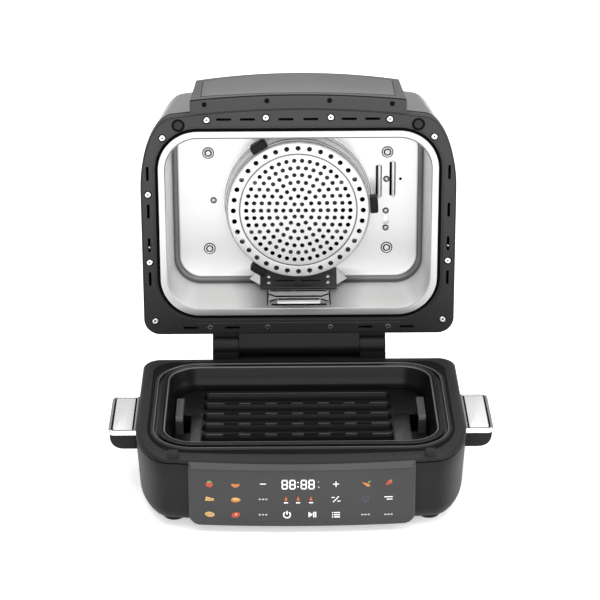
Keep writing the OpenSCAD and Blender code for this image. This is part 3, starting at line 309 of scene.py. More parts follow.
def turned(profile: Sequence[Sequence[float]], steps: int = 48, ring: bool = False) -> Surface:
    """Turned surface: the profile's pairs (r, z) carried round the z axis.

    Args:
        profile: Radii and heights.
        steps: Steps of a turn.
        ring: True where the profile is a closed loop clear of the axis.

    Returns:
        The surface.
    """
    t = around(steps)
    p = np.asarray(profile, float)
    rows = np.stack([p[:, :1] * np.cos(t), p[:, :1] * np.sin(t), np.repeat(p[:, 1:], steps, 1)], -1)
    return loft(rows, ring)


def carried(path: Array, half: float, thick: float) -> Surface:
    """Flat strip carried along a path in the YZ plane: P + x X + n N, with N the path's normal.

    Args:
        path: Points (y, z) of the strip's middle line.
        half: Half width along x.
        thick: Thickness along the normal.

    Returns:
        The strip, with eased edges.
    """
    go = np.gradient(path, axis=0)
    go /= np.linalg.norm(go, axis=1)[:, None]
    normal = np.column_stack([-go[:, 1], go[:, 0]])
    h = thick / 2
    profile = eased(band(-half, half, -h, h), 0.4 * thick, 3, True)
    rows = np.empty((len(path), len(profile), 3))
    rows[:, :, 0] = profile[:, 0]
    rows[:, :, 1:] = path[:, None] + normal[:, None] * profile[None, :, 1:]
    return loft(rows)


def along_x(profile: Array, x0: float, x1: float, edge: float = 0.8) -> Surface:
    """Bar along x: a plate whose outline is the profile (y, z), laid on its side."""
    return slab(shape_ring(profile), x0, x1, edge, edge).mapped(lambda y, z, x: (x, y, z))


def along_y(profile: Array, y0: float, y1: float, edge: float = 0.8) -> Surface:
    """Bar along y: a plate whose outline is the profile (x, z), laid on its side."""
    return slab(shape_ring(profile), y0, y1, edge, edge).mapped(lambda x, z, y: (x, y, z))


def patch(points: Array, low: float, high: float) -> Surface:
    """An outline raised from one height to another."""
    return loft(np.stack([level(points, low), level(points, high)]))


def grid(x: Array, y: Array, z: Array) -> Surface:
    """Closed surface through the points of three arrays, spread to one shape."""
    return loft(np.stack(np.broadcast_arrays(x, y, z), -1))


def band(r0: float, r1: float, z0: float, z1: float) -> list[tuple[float, float]]:
    """Corners of a four-sided section, from r0 to r1 across and from z0 to z1 up."""
    return [(r0, z0), (r1, z0), (r1, z1), (r0, z1)]


def swivel(x: Array, y: Array, turn: float) -> Array:
    """Points turned by degrees about the origin."""
    c, s = math.cos(math.radians(turn)), math.sin(math.radians(turn))
    return np.column_stack([x * c - y * s, x * s + y * c])


@dataclass(frozen=True)
class Stance:
    """Where pieces stand: the part's centring, and the lid's turn about its hinge."""

    centre_y: float = -64.896
    hinge_y: float = 151.9
    hinge_z: float = 92.0
    lid_open: float = 91.0

    def lid_depth(self, z: float) -> float:
        """Height z of the closed lid as a distance along its turned axis from the part's origin."""
        a = math.radians(self.lid_open)
        return z - self.hinge_z + (self.hinge_y + self.centre_y) * math.sin(a) + self.hinge_z * math.cos(a)

    def base(self, surface: Surface) -> Surface:
        """A piece of the base, centred with the part."""
        return surface.moved(y=self.centre_y)

    def lid(self, surface: Surface) -> Surface:
        """A piece of the closed lid, turned open.

        Args:
            surface: The piece, closed.

        Returns:
            The piece with y' = h + y cos a + z sin a and z' = -y sin a + z cos a about the hinge.
        """
        c, s = math.cos(math.radians(self.lid_open)), math.sin(math.radians(self.lid_open))
        x, y, z = surface.verts.T
        y, z = y - self.hinge_y, z - self.hinge_z
        verts = np.column_stack([x, self.hinge_y + self.centre_y + y * c + z * s,
                                 self.hinge_z - y * s + z * c])
        return Surface(verts, surface.faces)


STANCE = Stance()
# Heights in millimetres and share of a painted-shade fade that leaves a colour as it is
NO_FADE = (0.0, 1.0, 1.0)


# Finishes


class Nodes:
    """One material's node tree in the making."""

    def __init__(self, name: str) -> None:
        """Starts a material with one Principled shader."""
        self.material = bpy.data.materials.new(name)
        self.material.use_nodes = True
        self.tree = self.material.node_tree
        self.shader = self.tree.nodes["Principled BSDF"]

    def add(self, kind: str, **values: object) -> bpy.types.Node:
        """A new node with the given input values."""
        node = self.tree.nodes.new(kind)
        for key, value in values.items():
            node.inputs[key].default_value = value
        return node

    def set(self, **values: object) -> None:
        """Sets the shader's own sockets; an underscore stands for a space."""
        for key, value in values.items():
            self.shader.inputs[key.replace("_", " ")].default_value = value

    def feed(self, out: Socket, name: str) -> None:
        """Links an output to one of the shader's sockets."""
        self.tree.links.new(out, self.shader.inputs[name])

    def place(self, **values: object) -> Socket:
        """The piece's Object coordinates, mapped by the given values."""
        source = self.add("ShaderNodeTexCoord")
        mapping = self.add("ShaderNodeMapping", **values)
        self.tree.links.new(source.outputs["Object"], mapping.inputs["Vector"])
        return mapping.outputs["Vector"]

    def coords(self, scale: Colour = (1.0, 1.0, 1.0)) -> Socket:
        """The piece's Object coordinates, stretched by scale."""
        return self.place(Scale=scale)

    def noise(self, vector: Socket, scale: float, detail: float = 2.0) -> Socket:
        """Noise of the given scale per metre."""
        node = self.add("ShaderNodeTexNoise", Scale=scale, Detail=detail)
        self.tree.links.new(vector, node.inputs["Vector"])
        return node.outputs[0]

    def tint(self, fac: Socket, low: Colour, high: Colour, a: float = 0.3, b: float = 0.7) -> Socket:
        """Colour between low and high as fac goes from a to b."""
        return self.bands(fac, [(a, low), (b, high)])

    def ranged(self, value: Socket, *numbers: float) -> Socket:
        """A value carried from the range of the first two numbers to that of the last two."""
        node = self.tree.nodes.new("ShaderNodeMapRange")
        for k, number in enumerate(numbers):
            node.inputs[k + 1].default_value = number
        self.tree.links.new(value, node.inputs[0])
        return node.outputs[0]

    def coat(self, fac: Socket, colour: Colour, low: float, high: float, fade: Colour = NO_FADE) -> None:
        """Feeds a colour that goes from low to high times its brightness with fac, with painted shade by
        height from fade.
        """
        self.feed(self.height_shaded(self.tint(fac, scaled(colour, low), scaled(colour, high)), fade), "Base Color")

    def gloss(self, fac: Socket, roughness: float, low: float, high: float) -> None:
        """Feeds a roughness that goes from low to high times its value as fac goes from 0.3 to 0.7."""
        self.feed(self.ranged(fac, 0.3, 0.7, roughness * low, roughness * high), "Roughness")

    def along(self, low: float, high: float, turn: float = 0.0) -> Socket:
        """0 to 1 as the z of Object coordinates goes from low to high.

        Args:
            low: Height that gives 0, in millimetres.
            high: Height that gives 1.
            turn: Degrees about x by which the coordinates are turned first.

        Returns:
            The clamped fraction.
        """
        apart = self.tree.nodes.new("ShaderNodeSeparateXYZ")
        self.tree.links.new(self.place(Rotation=(math.radians(turn), 0.0, 0.0)), apart.inputs["Vector"])
        return self.ranged(apart.outputs["Z"], low * MM, high * MM, 0.0, 1.0)

    def lid_level(self, low: float, high: float) -> Socket:
        """0 to 1 as the height in the closed lid goes from low to high, in millimetres."""
        return self.along(STANCE.lid_depth(low), STANCE.lid_depth(high), STANCE.lid_open)

    def spot(self, rx: float, mid: float, rz: float) -> Socket:
        """1 at x 0 and height mid falling to 0 at an ellipse of half axes rx and rz, in millimetres."""
        oval = self.place(Scale=(1 / (rx * MM), 0.0, 1 / (rz * MM)), Location=(0.0, 0.0, -mid / rz))
        node = self.tree.nodes.new("ShaderNodeTexGradient")
        node.gradient_type = "SPHERICAL"
        self.tree.links.new(oval, node.inputs["Vector"])
        return node.outputs["Fac"]

    def times(self, a: Socket, b: Socket) -> Socket:
        """Two colours multiplied."""
        node = self.tree.nodes.new("ShaderNodeMix")
        node.data_type, node.blend_type = "RGBA", "MULTIPLY"
        node.inputs[0].default_value = 1.0
        self.tree.links.new(a, node.inputs[6])
        self.tree.links.new(b, node.inputs[7])
        return node.outputs[2]

    def height_shaded(self, colour: Socket, fade: Colour) -> Socket:
        """A colour with painted shade by height: times fade[2] at height fade[0], unchanged from fade[1]
        upwards.
        """
        low, high, share = fade
        if share == 1.0:
            return colour
        ramp = [(0.0, (share,) * 3), (1.0, (1.0,) * 3)]
        return self.times(colour, self.bands(self.along(low, high), ramp))

    def bands(self, fac: Socket, stops: Sequence[tuple[float, Colour]]) -> Socket:
        """Colour that passes through the given stops as fac goes from 0 to 1."""
        ramp = self.add("ShaderNodeValToRGB")
        row = ramp.color_ramp.elements
        while len(row) < len(stops):
            row.new(1.0)
        for stop, (place, colour) in zip(row, stops):
            stop.position, stop.color = place, (*colour, 1.0)
        self.tree.links.new(fac, ramp.inputs["Fac"])
        return ramp.outputs["Color"]

    def relief(self, height: Socket, strength: float, depth: float) -> None:
        """Bump of the given depth in metres."""
        node = self.add("ShaderNodeBump", Strength=strength, Distance=depth)
        self.tree.links.new(height, node.inputs["Height"])
        self.feed(node.outputs["Normal"], "Normal")


def scaled(colour: Colour, k: float) -> Colour:
    """A colour made k times as bright."""
    return tuple(min(c * k, 1.0) for c in colour)


def tones(colour: Colour, shares: Iterable[Sequence[float]]) -> list[tuple[float, Colour]]:
    """Stops of a colour made brighter or darker: pairs of a place and a share of its brightness."""
    return [(place, scaled(colour, share)) for place, share in shares]


@dataclass(frozen=True)
class Finish:
    """A named finish with a base colour; each kind shades its own way."""

    name: str
    colour: Colour
    roughness: float = 0.5
    made: ClassVar[dict[str, bpy.types.Material]] = {}

    def material(self) -> bpy.types.Material:
        """The finish's material, made once."""
        if self.name not in Finish.made:
            nodes = Nodes(self.name)
            nodes.material.diffuse_color = (*self.colour, 1.0)
            self.shade(nodes)
            Finish.made[self.name] = nodes.material
        return Finish.made[self.name]

    def shade(self, nodes: Nodes) -> None:
        """Builds the shader: here a plain coat with slight changes of tone and gloss."""
        fac = nodes.noise(nodes.coords(), 60.0, 3.0)
        nodes.coat(fac, self.colour, 0.92, 1.06)
        nodes.gloss(fac, self.roughness, 0.94, 1.06)


@dataclass(frozen=True)
class MouldedPlastic(Finish):
    """Satin moulded plastic with a fine spark-eroded grain."""

    grain: float = 1500.0
    depth: float = 0.00003
    gloss: float = 0.45
    # fade: painted shade, the colour made darker by height
    fade: Colour = NO_FADE

    def shade(self, nodes: Nodes) -> None:
        """Broad cloudiness as tone, over the grain."""
        nodes.coat(nodes.noise(nodes.coords(), 14.0, 3.0), self.colour, 0.93, 1.07, self.fade)
        self.roughen(nodes)

    def roughen(self, nodes: Nodes) -> None:
        """Fine grain as bump and gloss."""
        grain = nodes.noise(nodes.coords(), self.grain, 2.0)
        nodes.gloss(grain, self.roughness, 0.9, 1.1)
        nodes.set(Specular_IOR_Level=self.gloss)
        nodes.relief(grain, 0.35, self.depth)


@dataclass(frozen=True)
class FoldShadedPlastic(MouldedPlastic):
    """Moulded plastic of the lid's handle with painted shade: a dark lower face, a darker fold, a wall of the
    base colour.
    """

    fold: float = LID_Z
    start: float = 0.2
    end: float = 12.0

    def shade(self, nodes: Nodes) -> None:
        """The height in the closed lid picks the painted shade; fine grain gives bump and gloss."""
        shares = [(0.0, 0.46), (0.05, 0.12), (0.4, 0.12), (0.56, 1.0)]
        height = nodes.lid_level(self.fold + self.start, self.fold + self.end)
        nodes.feed(nodes.bands(height, tones(self.colour, shares)), "Base Color")
        self.roughen(nodes)


@dataclass(frozen=True)
class BrushedMetal(Finish):
    """Metal with fine lines along one direction."""

    lines: Colour = (4.0, 900.0, 900.0)
    depth: float = 0.00001
    swing: float = 0.25
    metal: float = 1.0
    # fade: painted shade, the colour made darker by height
    fade: Colour = NO_FADE

    def shade(self, nodes: Nodes) -> None:
        """Noise stretched along the lines changes tone, gloss and bump."""
        streak = nodes.noise(nodes.coords(self.lines), 1.0, 3.0)
        broad = nodes.noise(nodes.coords(), 6.0, 2.0)
        nodes.set(Metallic=self.metal)
        nodes.coat(streak, self.colour, 0.95, 1.04, self.fade)
        nodes.gloss(broad, self.roughness, 1 - self.swing, 1 + self.swing)
        nodes.relief(streak, 0.25, self.depth)


@dataclass(frozen=True)
class ShadedCavitySteel(BrushedMetal):
    """Bright sheet of the lid's cavity, with painted shade where the walls fold into the roof and beside the
    lamp.
    """

    roof: float = ROOF_Z
    fold: float = 12.0
    # lamp: half width, middle height and half height of the painted shade beside the lamp
    lamp: Place = (84.0, 148.0, 16.0)

    def shade(self, nodes: Nodes) -> None:
        """Height in the closed lid gives the fold's two dark lines of painted shade; stretched noise gives
        gloss and bump.
        """
        streak = nodes.noise(nodes.coords(self.lines), 1.0, 3.0)
        shares = [(0.0, 0.72), (0.2, 0.5), (0.34, 0.08), (0.55, 0.1), (0.74, 0.24), (0.86, 0.24),
                  (0.93, 0.09),
                  (0.98, 1.0)]
        shadow = tones((1.0, 1.0, 1.0), [(0.0, 1.0), (0.25, 0.7), (0.55, 0.16)])
        lamp_shade = nodes.bands(nodes.spot(*self.lamp), shadow)
        sheet = nodes.bands(nodes.lid_level(self.roof - self.fold, self.roof - 0.02),
                            tones(self.colour, shares))
        nodes.set(Metallic=self.metal)
        nodes.feed(nodes.times(nodes.height_shaded(sheet, self.fade), lamp_shade), "Base Color")
        nodes.gloss(streak, self.roughness, 1 - self.swing, 1 + self.swing)
        nodes.relief(streak, 0.25, self.depth)


@dataclass(frozen=True)
class PolishedMetal(Finish):
    """Bright plated metal with faint wiping marks."""

    def shade(self, nodes: Nodes) -> None:
        """Smooth metal whose gloss varies a little."""
        nodes.set(Metallic=1.0)
        smear = nodes.noise(nodes.coords((1.0, 3.0, 1.0)), 45.0, 3.0)
        nodes.coat(smear, self.colour, 0.98, 1.02)
        nodes.gloss(smear, self.roughness, 0.7, 1.4)


@dataclass(frozen=True)
class NonStick(Finish):
    """Dark cooking coat with fine pale specks and a soft shine."""

    gloss: float = 0.5

    def shade(self, nodes: Nodes) -> None:
        """A cell pattern gives the specks, fine noise the coat's orange-peel relief."""
        place = nodes.coords()
        cells = nodes.add("ShaderNodeTexVoronoi", Scale=650.0)
        nodes.tree.links.new(place, cells.inputs["Vector"])
        peel = nodes.noise(place, 900.0, 2.0)
        specks = nodes.tint(cells.outputs["Distance"], scaled(self.colour, 1.25), self.colour, 0.06, 0.16)
        nodes.feed(specks, "Base Color")
        nodes.gloss(peel, self.roughness, 0.88, 1.12)
        nodes.set(Specular_IOR_Level=self.gloss)
        nodes.relief(peel, 0.05, 0.00001)


@dataclass(frozen=True)
class PaintedReflectionCoat(NonStick):
    """Cooking coat with a painted reflection of the lid: paler towards the front."""

    rear: float = 24.0
    front: float = -70.0

    def shade(self, nodes: Nodes) -> None:
        """The place from rear to front gives the tone of the painted reflection; the rest is as on any
        cooking coat.
        """
        super().shade(nodes)
        fac = nodes.along(self.rear + STANCE.centre_y, self.front + STANCE.centre_y, 90.0)
        nodes.feed(nodes.bands(fac, tones(self.colour, [(0.0, 0.06), (0.5, 0.45), (1.0, 1.0)])),
                   "Base Color")


@dataclass(frozen=True)
class Glow(Finish):
    """Lit or printed mark on the panel."""

    strength: float = 0.0

    def shade(self, nodes: Nodes) -> None:
        """A coat with a slight unevenness of print, and light of its own colour."""
        fac = nodes.noise(nodes.coords(), 700.0, 2.0)
        nodes.coat(fac, self.colour, 0.88, 1.08)
        nodes.gloss(fac, self.roughness, 0.9, 1.1)
        nodes.set(Emission_Color=(*self.colour, 1.0), Emission_Strength=self.strength)


@dataclass(frozen=True)
class ClearGlass(Finish):
    """Clear glass with faint waviness."""

    def shade(self, nodes: Nodes) -> None:
        """Transmitting shader; noise gives a little unevenness to its gloss."""
        nodes.set(Transmission_Weight=0.85, IOR=1.46)
        fac = nodes.noise(nodes.coords(), 90.0, 2.0)
        nodes.coat(fac, self.colour, 0.97, 1.0)
        nodes.gloss(fac, self.roughness, 0.6, 1.4)


HOUSING = MouldedPlastic("housing_black", (0.0045, 0.0045, 0.0047), 0.5, gloss=0.24)
CHARCOAL = MouldedPlastic("charcoal_plastic", (0.0060, 0.0060, 0.0062), 0.55, gloss=0.27)
# The frame's fade is painted shade: the frame grows darker towards the hinge
FRAME = MouldedPlastic("frame_plastic", (0.040, 0.040, 0.041), 0.6, gloss=0.35, fade=(105.0, 330.0, 0.22))
# Painted shade on the handle's lower face and fold
HANDLE_GREY = FoldShadedPlastic("handle_grey", (0.075, 0.075, 0.077), 0.5)
HANDLE_PALE = MouldedPlastic("handle_pale_grey", (0.115, 0.115, 0.118), 0.45)
PANEL = MouldedPlastic("touch_panel", (0.026, 0.026, 0.027), 0.45, 2200.0, 0.00001)
# Painted highlight on the panel's upper bevel
PANEL_HIGHLIGHT = MouldedPlastic("panel_highlight_grey", (0.048, 0.048, 0.049), 0.45, 2200.0, 0.00001)
# Painted highlight along the lid frame beside the hinge
FOLD_HIGHLIGHT = MouldedPlastic("fold_highlight_grey", (0.040, 0.040, 0.041), 0.6)
PLUG = MouldedPlastic("plug_dark", (0.020, 0.020, 0.0205), 0.6, gloss=0.3)
# Painted highlight on the rounded lips of the bezel and the pot
EDGE_HIGHLIGHT = MouldedPlastic("edge_highlight", (0.085, 0.085, 0.087), 0.3, gloss=0.6)
# Painted shade: near black laid in recesses, gaps, slots and folds
SHADE_BLACK = MouldedPlastic("painted_shade_black", (0.003, 0.003, 0.003), 0.8, gloss=0.1)
# Painted shade: the lamp's hood, under the guard, coloured dark grey
HOOD = MouldedPlastic("hood_painted_shade", (0.05, 0.05, 0.051), 0.4)
LIFT = MouldedPlastic("lift_dark", (0.030, 0.030, 0.031), 0.4)
RUBBER = MouldedPlastic("rubber_black", (0.010, 0.010, 0.010), 0.75, 1100.0, 0.00005, 0.3)
SEAL = MouldedPlastic("seal_black", (0.002, 0.002, 0.002), 0.9, 1100.0, 0.00002, 0.05)
STEEL_SHELL = BrushedMetal("shell_steel", (0.5, 0.5, 0.505), 0.28, (4.0, 700.0, 700.0), metal=0.9)
STEEL_LINER = BrushedMetal("liner_steel", (0.92, 0.92, 0.915), 0.3, (3.0, 60.0, 60.0), 0.000002, 0.12, 0.5)
# Painted shade: dark lines where the walls fold into the roof, a darker patch beside the lamp, and a darker
# lower part
STEEL_CAVITY = ShadedCavitySteel("cavity_steel", (0.94, 0.94, 0.935), 0.3, (3.0, 60.0, 60.0), 0.000001, 0.06,
                            0.4,
                            (131.0, 143.0, 0.4))
# Painted shade along the liner's mouth, darker towards the top of the open lid
MOUTH_SHADE = BrushedMetal("mouth_shade_line", (0.5, 0.5, 0.5), 0.4, (60.0, 60.0, 60.0), 0.000002, 0.1, 0.3,
                          (300.0, 150.0, 0.1))
# The guard's fade is painted shade: the guard darker towards its lower part
STEEL_GUARD = BrushedMetal("guard_steel", (0.94, 0.94, 0.935), 0.36, (60.0, 60.0, 60.0), 0.000002, 0.1, 0.4,
                           (150.0, 300.0, 0.72))
STEEL_PART = BrushedMetal("plain_steel", (0.55, 0.55, 0.56), 0.35, (300.0, 300.0, 300.0))
STEEL_INLAY = BrushedMetal("inlay_steel", (0.66, 0.66, 0.67), 0.32, (700.0, 4.0, 700.0), metal=0.3)
SCREW_BRIGHT = PolishedMetal("screw_bright", (0.9, 0.9, 0.9), 0.25)
# Painted shade: a shaded copy of the bright screws, also used for dark rings round the guard
SCREW_SHADED = PolishedMetal("screw_painted_shade", (0.16, 0.16, 0.16), 0.35)
CHROME = PolishedMetal("chrome", (0.86, 0.87, 0.88), 0.07)
# Painted shade: the heat shield bowl darkened to the black of the shaded groove round the pot
BOWL_SHADE = MouldedPlastic("bowl_painted_shade", (0.016, 0.016, 0.017), 0.35, 900.0, 0.00002)
POT_COAT = NonStick("pot_coat", (0.0055, 0.0055, 0.0057), 0.3, 0.2)
# Painted reflection of the lid on the plate's margins
MARGIN_REFLECTION = PaintedReflectionCoat("margin_painted_reflection", (0.055, 0.054, 0.053), 0.3, 0.2)
PLATE_COAT = NonStick("plate_coat", (0.0035, 0.0035, 0.0037), 0.36, 0.15)
# Painted highlight along the ridges' top edges
RIDGE_HIGHLIGHT = NonStick("ridge_highlight_coat", (0.040, 0.040, 0.041), 0.35, 0.5)
ALUMINIUM = BrushedMetal("fan_aluminium", (0.12, 0.12, 0.122), 0.4, (300.0, 300.0, 300.0))
BRASS = PolishedMetal("bush_brass", (0.6, 0.46, 0.25), 0.35)
BOARD = Finish("board_green", (0.03, 0.14, 0.06), 0.5)
MOTOR = MouldedPlastic("motor_grey", (0.2, 0.2, 0.21), 0.5)
COIL = BrushedMetal("coil_tube", (0.1, 0.095, 0.09), 0.5, (300.0, 300.0, 300.0))
GLASS = ClearGlass("lamp_glass_clear", (0.95, 0.97, 0.98), 0.06)
BULB = Glow("bulb_frosted", (0.9, 0.88, 0.8), 0.3, 0.2)
MARK_WHITE = Glow("mark_white", (0.85, 0.85, 0.85), 0.4, 0.55)
MARK_GREY = Glow("mark_grey", (0.45, 0.45, 0.46), 0.4, 0.1)
MARK_DIM = Glow("mark_dim", (0.07, 0.07, 0.11), 0.4, 0.0)
MARK_RED = Glow("mark_red", (0.42, 0.045, 0.022), 0.4, 0.08)
MARK_ORANGE = Glow("mark_orange", (0.52, 0.18, 0.035), 0.4, 0.05)
MARK_YELLOW = Glow("mark_yellow", (0.6, 0.38, 0.12), 0.4, 0.05)
MARK_BROWN = Glow("mark_brown", (0.26, 0.09, 0.03), 0.4, 0.05)
MARK_GREEN = Glow("mark_green", (0.12, 0.3, 0.07), 0.4, 0.1)


# Pieces


def mesh_of(name: str, surface: Surface, angle: float) -> bpy.types.Mesh:
    """A mesh of the surface in metres, smooth but for edges sharper than angle.

    Args:
        name: The mesh's name.
        surface: Points and faces.
        angle: Degrees.

    Returns:
        The mesh.
    """
    mesh = bpy.data.meshes.new(name)
    mesh.from_pydata((surface.verts * MM).tolist(), [],
                     [f for block in surface.faces for f in block.tolist()])
    work = bmesh.new()
    work.from_mesh(mesh)
    bmesh.ops.remove_doubles(work, verts=work.verts, dist=WELD)
    bmesh.ops.dissolve_degenerate(work, edges=work.edges, dist=WELD)
    work.to_mesh(mesh)
    work.free()
    soften(mesh, angle)
    return mesh


def soften(mesh: bpy.types.Mesh, angle: float) -> None:
    """Shades a mesh smooth and marks its edges sharper than angle."""
    mesh.polygons.foreach_set("use_smooth", np.ones(len(mesh.polygons), bool))
    mesh.set_sharp_from_angle(angle=math.radians(angle))
    mesh.update()


def piece(name: str, surface: Surface, finish: Finish, body: Body, replaces: Sequence[str] = (),
          angle: float = CREASE, cut: Surface | None = None) -> bpy.types.Object:
    """Puts a finished piece into the scene.

    Args:
        name: The piece's name.
        surface: Its shape in millimetres, with the lid closed and the part not yet centred.
        finish: Its finish.
        body: The CAD body that it rides on.
        replaces: CAD nodes that it stands for.
        angle: Edges sharper than this stay sharp.
        cut: Closed solids that are cut out of it, placed as its shape is.

    Returns:
        The piece's object.
    """
    stand = STANCE.lid if body is Body.LID else STANCE.base
    obj = bpy.data.objects.new(name, mesh_of(name, stand(surface), angle))
    obj.data.materials.append(finish.material())
    bpy.context.scene.collection.objects.link(obj)
    if cut is not None:
        carve(obj, stand(cut), angle)
    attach(obj, body.value)
    if replaces:
        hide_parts(*replaces)
    log.info("%s: %d faces on %s", name, len(obj.data.polygons), body.value)
    return obj


def carve(obj: bpy.types.Object, tool: Surface, angle: float) -> None:
    """Cuts the tool's closed solids out of a piece, as an exact difference that is applied.

    Args:
        obj: The piece.
        tool: The solids.
        angle: Edges sharper than this stay sharp.
    """
    cutter = bpy.data.objects.new("cutter", mesh_of("cutter", tool, CUTTER_CREASE))
    bpy.context.scene.collection.objects.link(cutter)
    step = obj.modifiers.new("cut", "BOOLEAN")
    step.operation, step.solver, step.object = "DIFFERENCE", "EXACT", cutter
    done = bpy.data.meshes.new_from_object(obj.evaluated_get(bpy.context.evaluated_depsgraph_get()))
    obj.modifiers.clear()
    old, obj.data = obj.data, done
    done.name = old.name + "_cut"
    spent = cutter.data
    bpy.data.objects.remove(cutter)
    bpy.data.meshes.remove(spent)
    bpy.data.meshes.remove(old)
    soften(done, angle)


@dataclass
class BaseBody:
    """The base: housing, bezel, feet and the heat shield under the pot."""

    hw: float = 179.5
    front: float = -122.5
    rear: float = 137.5
    bow: float = 15.0
    front_r: float = 37.0
    front_l: float = 81.0
    rear_r: float = 20.0
    foot_h: float = 4.6
    seam: float = 78.0
    seam_gap: float = 0.35
    wall: float = 2.4
    edge_in: float = 20.0
    edge_h: float = 19.0
    draft: float = 3.5
    rear_share: float = 0.35
    bezel_h: float = 6.0
    bezel_in: float = 10.0
    lip_z: float = 87.0
    lip_w: float = 4.0
    lip_rise: float = 2.0
    shield_z: float = 82.7
    well_hw: float = 158.5
    well_front: float = -108.0
    well_rear: float = 111.0
    well_r: float = 46.0
    foot_x: float = 137.0
    foot_front: float = -96.0
    foot_rear: float = 113.0
    foot_r: float = 12.4
    foot_top: float = 13.0
    rest_x: float = 135.84
    rest_y: float = -120.5
    rest_half: float = 5.5
    rest_low: float = 81.9
    rest_top: float = 88.4

    def ring(self, d: float, t: float = 0.0, share: float | None = None) -> Array:
        """The body's outline drawn in by d and a wall of t; the rear draws in by a share of d."""
        k = self.rear_share if share is None else share
        return outline(self.hw - d - t, self.front + d + t, self.rear - k * d - t,
                       max(self.front_r - d - t, 4.0),
                       max(self.rear_r - k * d - t, 3.0), self.bow, length=self.front_l - d - t)

    def well(self, d: float) -> Array:
        """The outline of the well that holds the pot, drawn in by d."""
        r = self.well_r - d
        return outline(self.well_hw - d, self.well_front + d, self.well_rear - d, r, r)

    def shoulder(self, d: float) -> Array:
        """The bezel's outline, drawn in by d all round."""
        return self.ring(d, 0, 1.0)

    def top(self, f: float, rise: float = 0.0) -> Array:
        """Row of the bezel's top, rise over it, blended from shoulder to lip as f goes from 0 to 1."""
        flat = self.shoulder(self.bezel_in) * (1 - f) + self.well(-self.lip_w) * f
        return level(flat, self.seam + self.bezel_h + self.lip_rise * f * f + rise)

    def housing(self) -> Surface:
        """Lofted wall: a quarter round at the bottom, a slight draft up to the seam, then down its inside."""
        a = np.linspace(0, QUARTER, 15)
        edge = np.column_stack([self.draft + self.edge_in * (1 - np.sin(a)),
                                self.foot_h + self.edge_h * (1 - np.cos(a))])
        top, low = self.seam - self.seam_gap, edge[-1, 1]
        outer = [level(self.ring(d), z) for d, z in edge]
        outer += [level(self.ring(self.draft * (1 - f)), low + f * (top - 0.9 - low))
                  for f in (0.34, 0.67, 1.0)]
        lip = [level(self.ring(0.0, t), z) for t, z in ((0.25, top - 0.3), (0.9, top), (self.wall, top))]
        inner = [level(self.ring(d, self.wall), z) for d, z in edge[::-1]]
        return loft(np.stack(outer + lip + inner), ring=True)

    def bezel(self) -> Surface:
        """Lofted ring: a rounded shoulder, a top that blends from it to the well's lip, and the lip."""
        low, high, z, h = self.seam + self.seam_gap, self.shield_z + 0.2, self.lip_z, self.bezel_h
        rows = [level(self.shoulder(0.9), low), level(self.shoulder(0.2), low + 0.25)]
        rows += [level(self.shoulder(self.bezel_in * (1 - math.cos(t))), self.seam + h * math.sin(t))
                 for t in np.linspace(0.14, QUARTER, 12)]
        rows += [self.top(f) for f in (0.2, 0.4, 0.6, 0.8, 1.0)]
        lip = [(-3.0, z - 0.4), (-1.9, z - 0.05), (-1.0, z), (-0.35, z - 0.25), (0.0, z - 0.9), (0.0, high),
               (-self.wall, high), (-self.wall, z - 3.4)]
        rows += [level(self.well(d), height) for d, height in lip]
        under = self.shoulder(self.bezel_in + self.wall)
        rows += [level(under, self.seam + h - self.wall), level(self.shoulder(self.wall), low)]
        return loft(np.stack(rows), ring=True)

    def channel_shade(self) -> Surface:
        """Painted shade: a thin dark band on the bezel's top beside the lip."""
        section = [(0.4, -0.5), (0.4, 0.1), (0.7, 0.14), (0.97, 0.12), (0.97, -0.5)]
        return loft(np.stack([self.top(f, rise) for f, rise in section]), ring=True)

    def lip_highlight(self) -> Surface:
        """Painted highlight: a thin bright strip along the well's lip."""
        z = self.lip_z
        return loft(lifted(self.well, [(-1.5, z - 0.5), (-1.3, z + 0.12), (-0.5, z + 0.05),
                                       (-0.1, z - 0.6)]), ring=True)

    def feet(self) -> Surface:
        """Turned feet with a narrower tread and a hollow under each."""
        r, top = self.foot_r, self.foot_top
        side = [(AXIS, 1.2), (6.0, 1.2), (6.6, 0.0), (r - 1.8, 0.0), (r, 2.2), (r, top), (AXIS, top)]
        foot = turned(eased(side, 0.6), 36)
        return foot.copies([(s * self.foot_x, y, 0.0) for s in (-1, 1)
                            for y in (self.foot_front, self.foot_rear)])

    def rests(self) -> Surface:
        """Two small rubber blocks with eased edges on the bezel's front corners."""
        h = self.rest_half
        block = slab(box_ring(-h, -h, h, h, 1.8), self.rest_low, self.rest_top, 0.3, 1.4)
        return block.copies([(s * self.rest_x, self.rest_y, 0.0) for s in (-1, 1)])

    def build(self) -> None:
        """Makes the base's pieces."""
        piece("base_housing_skin", self.housing(), HOUSING, Body.BASE, ["base_housing"])
        piece("base_bezel_skin", self.bezel(), CHARCOAL, Body.BASE, ["top_bezel"])
        piece("base_bezel_channel_shade", self.channel_shade(), SHADE_BLACK, Body.BASE)
        piece("base_bezel_lip_highlight", self.lip_highlight(), EDGE_HIGHLIGHT, Body.BASE)
        piece("base_feet", self.feet(), RUBBER, Body.BASE, ["rubber_feet"])
        piece("base_lid_rests", self.rests(), RUBBER, Body.BASE, ["lid_rest_blocks"])


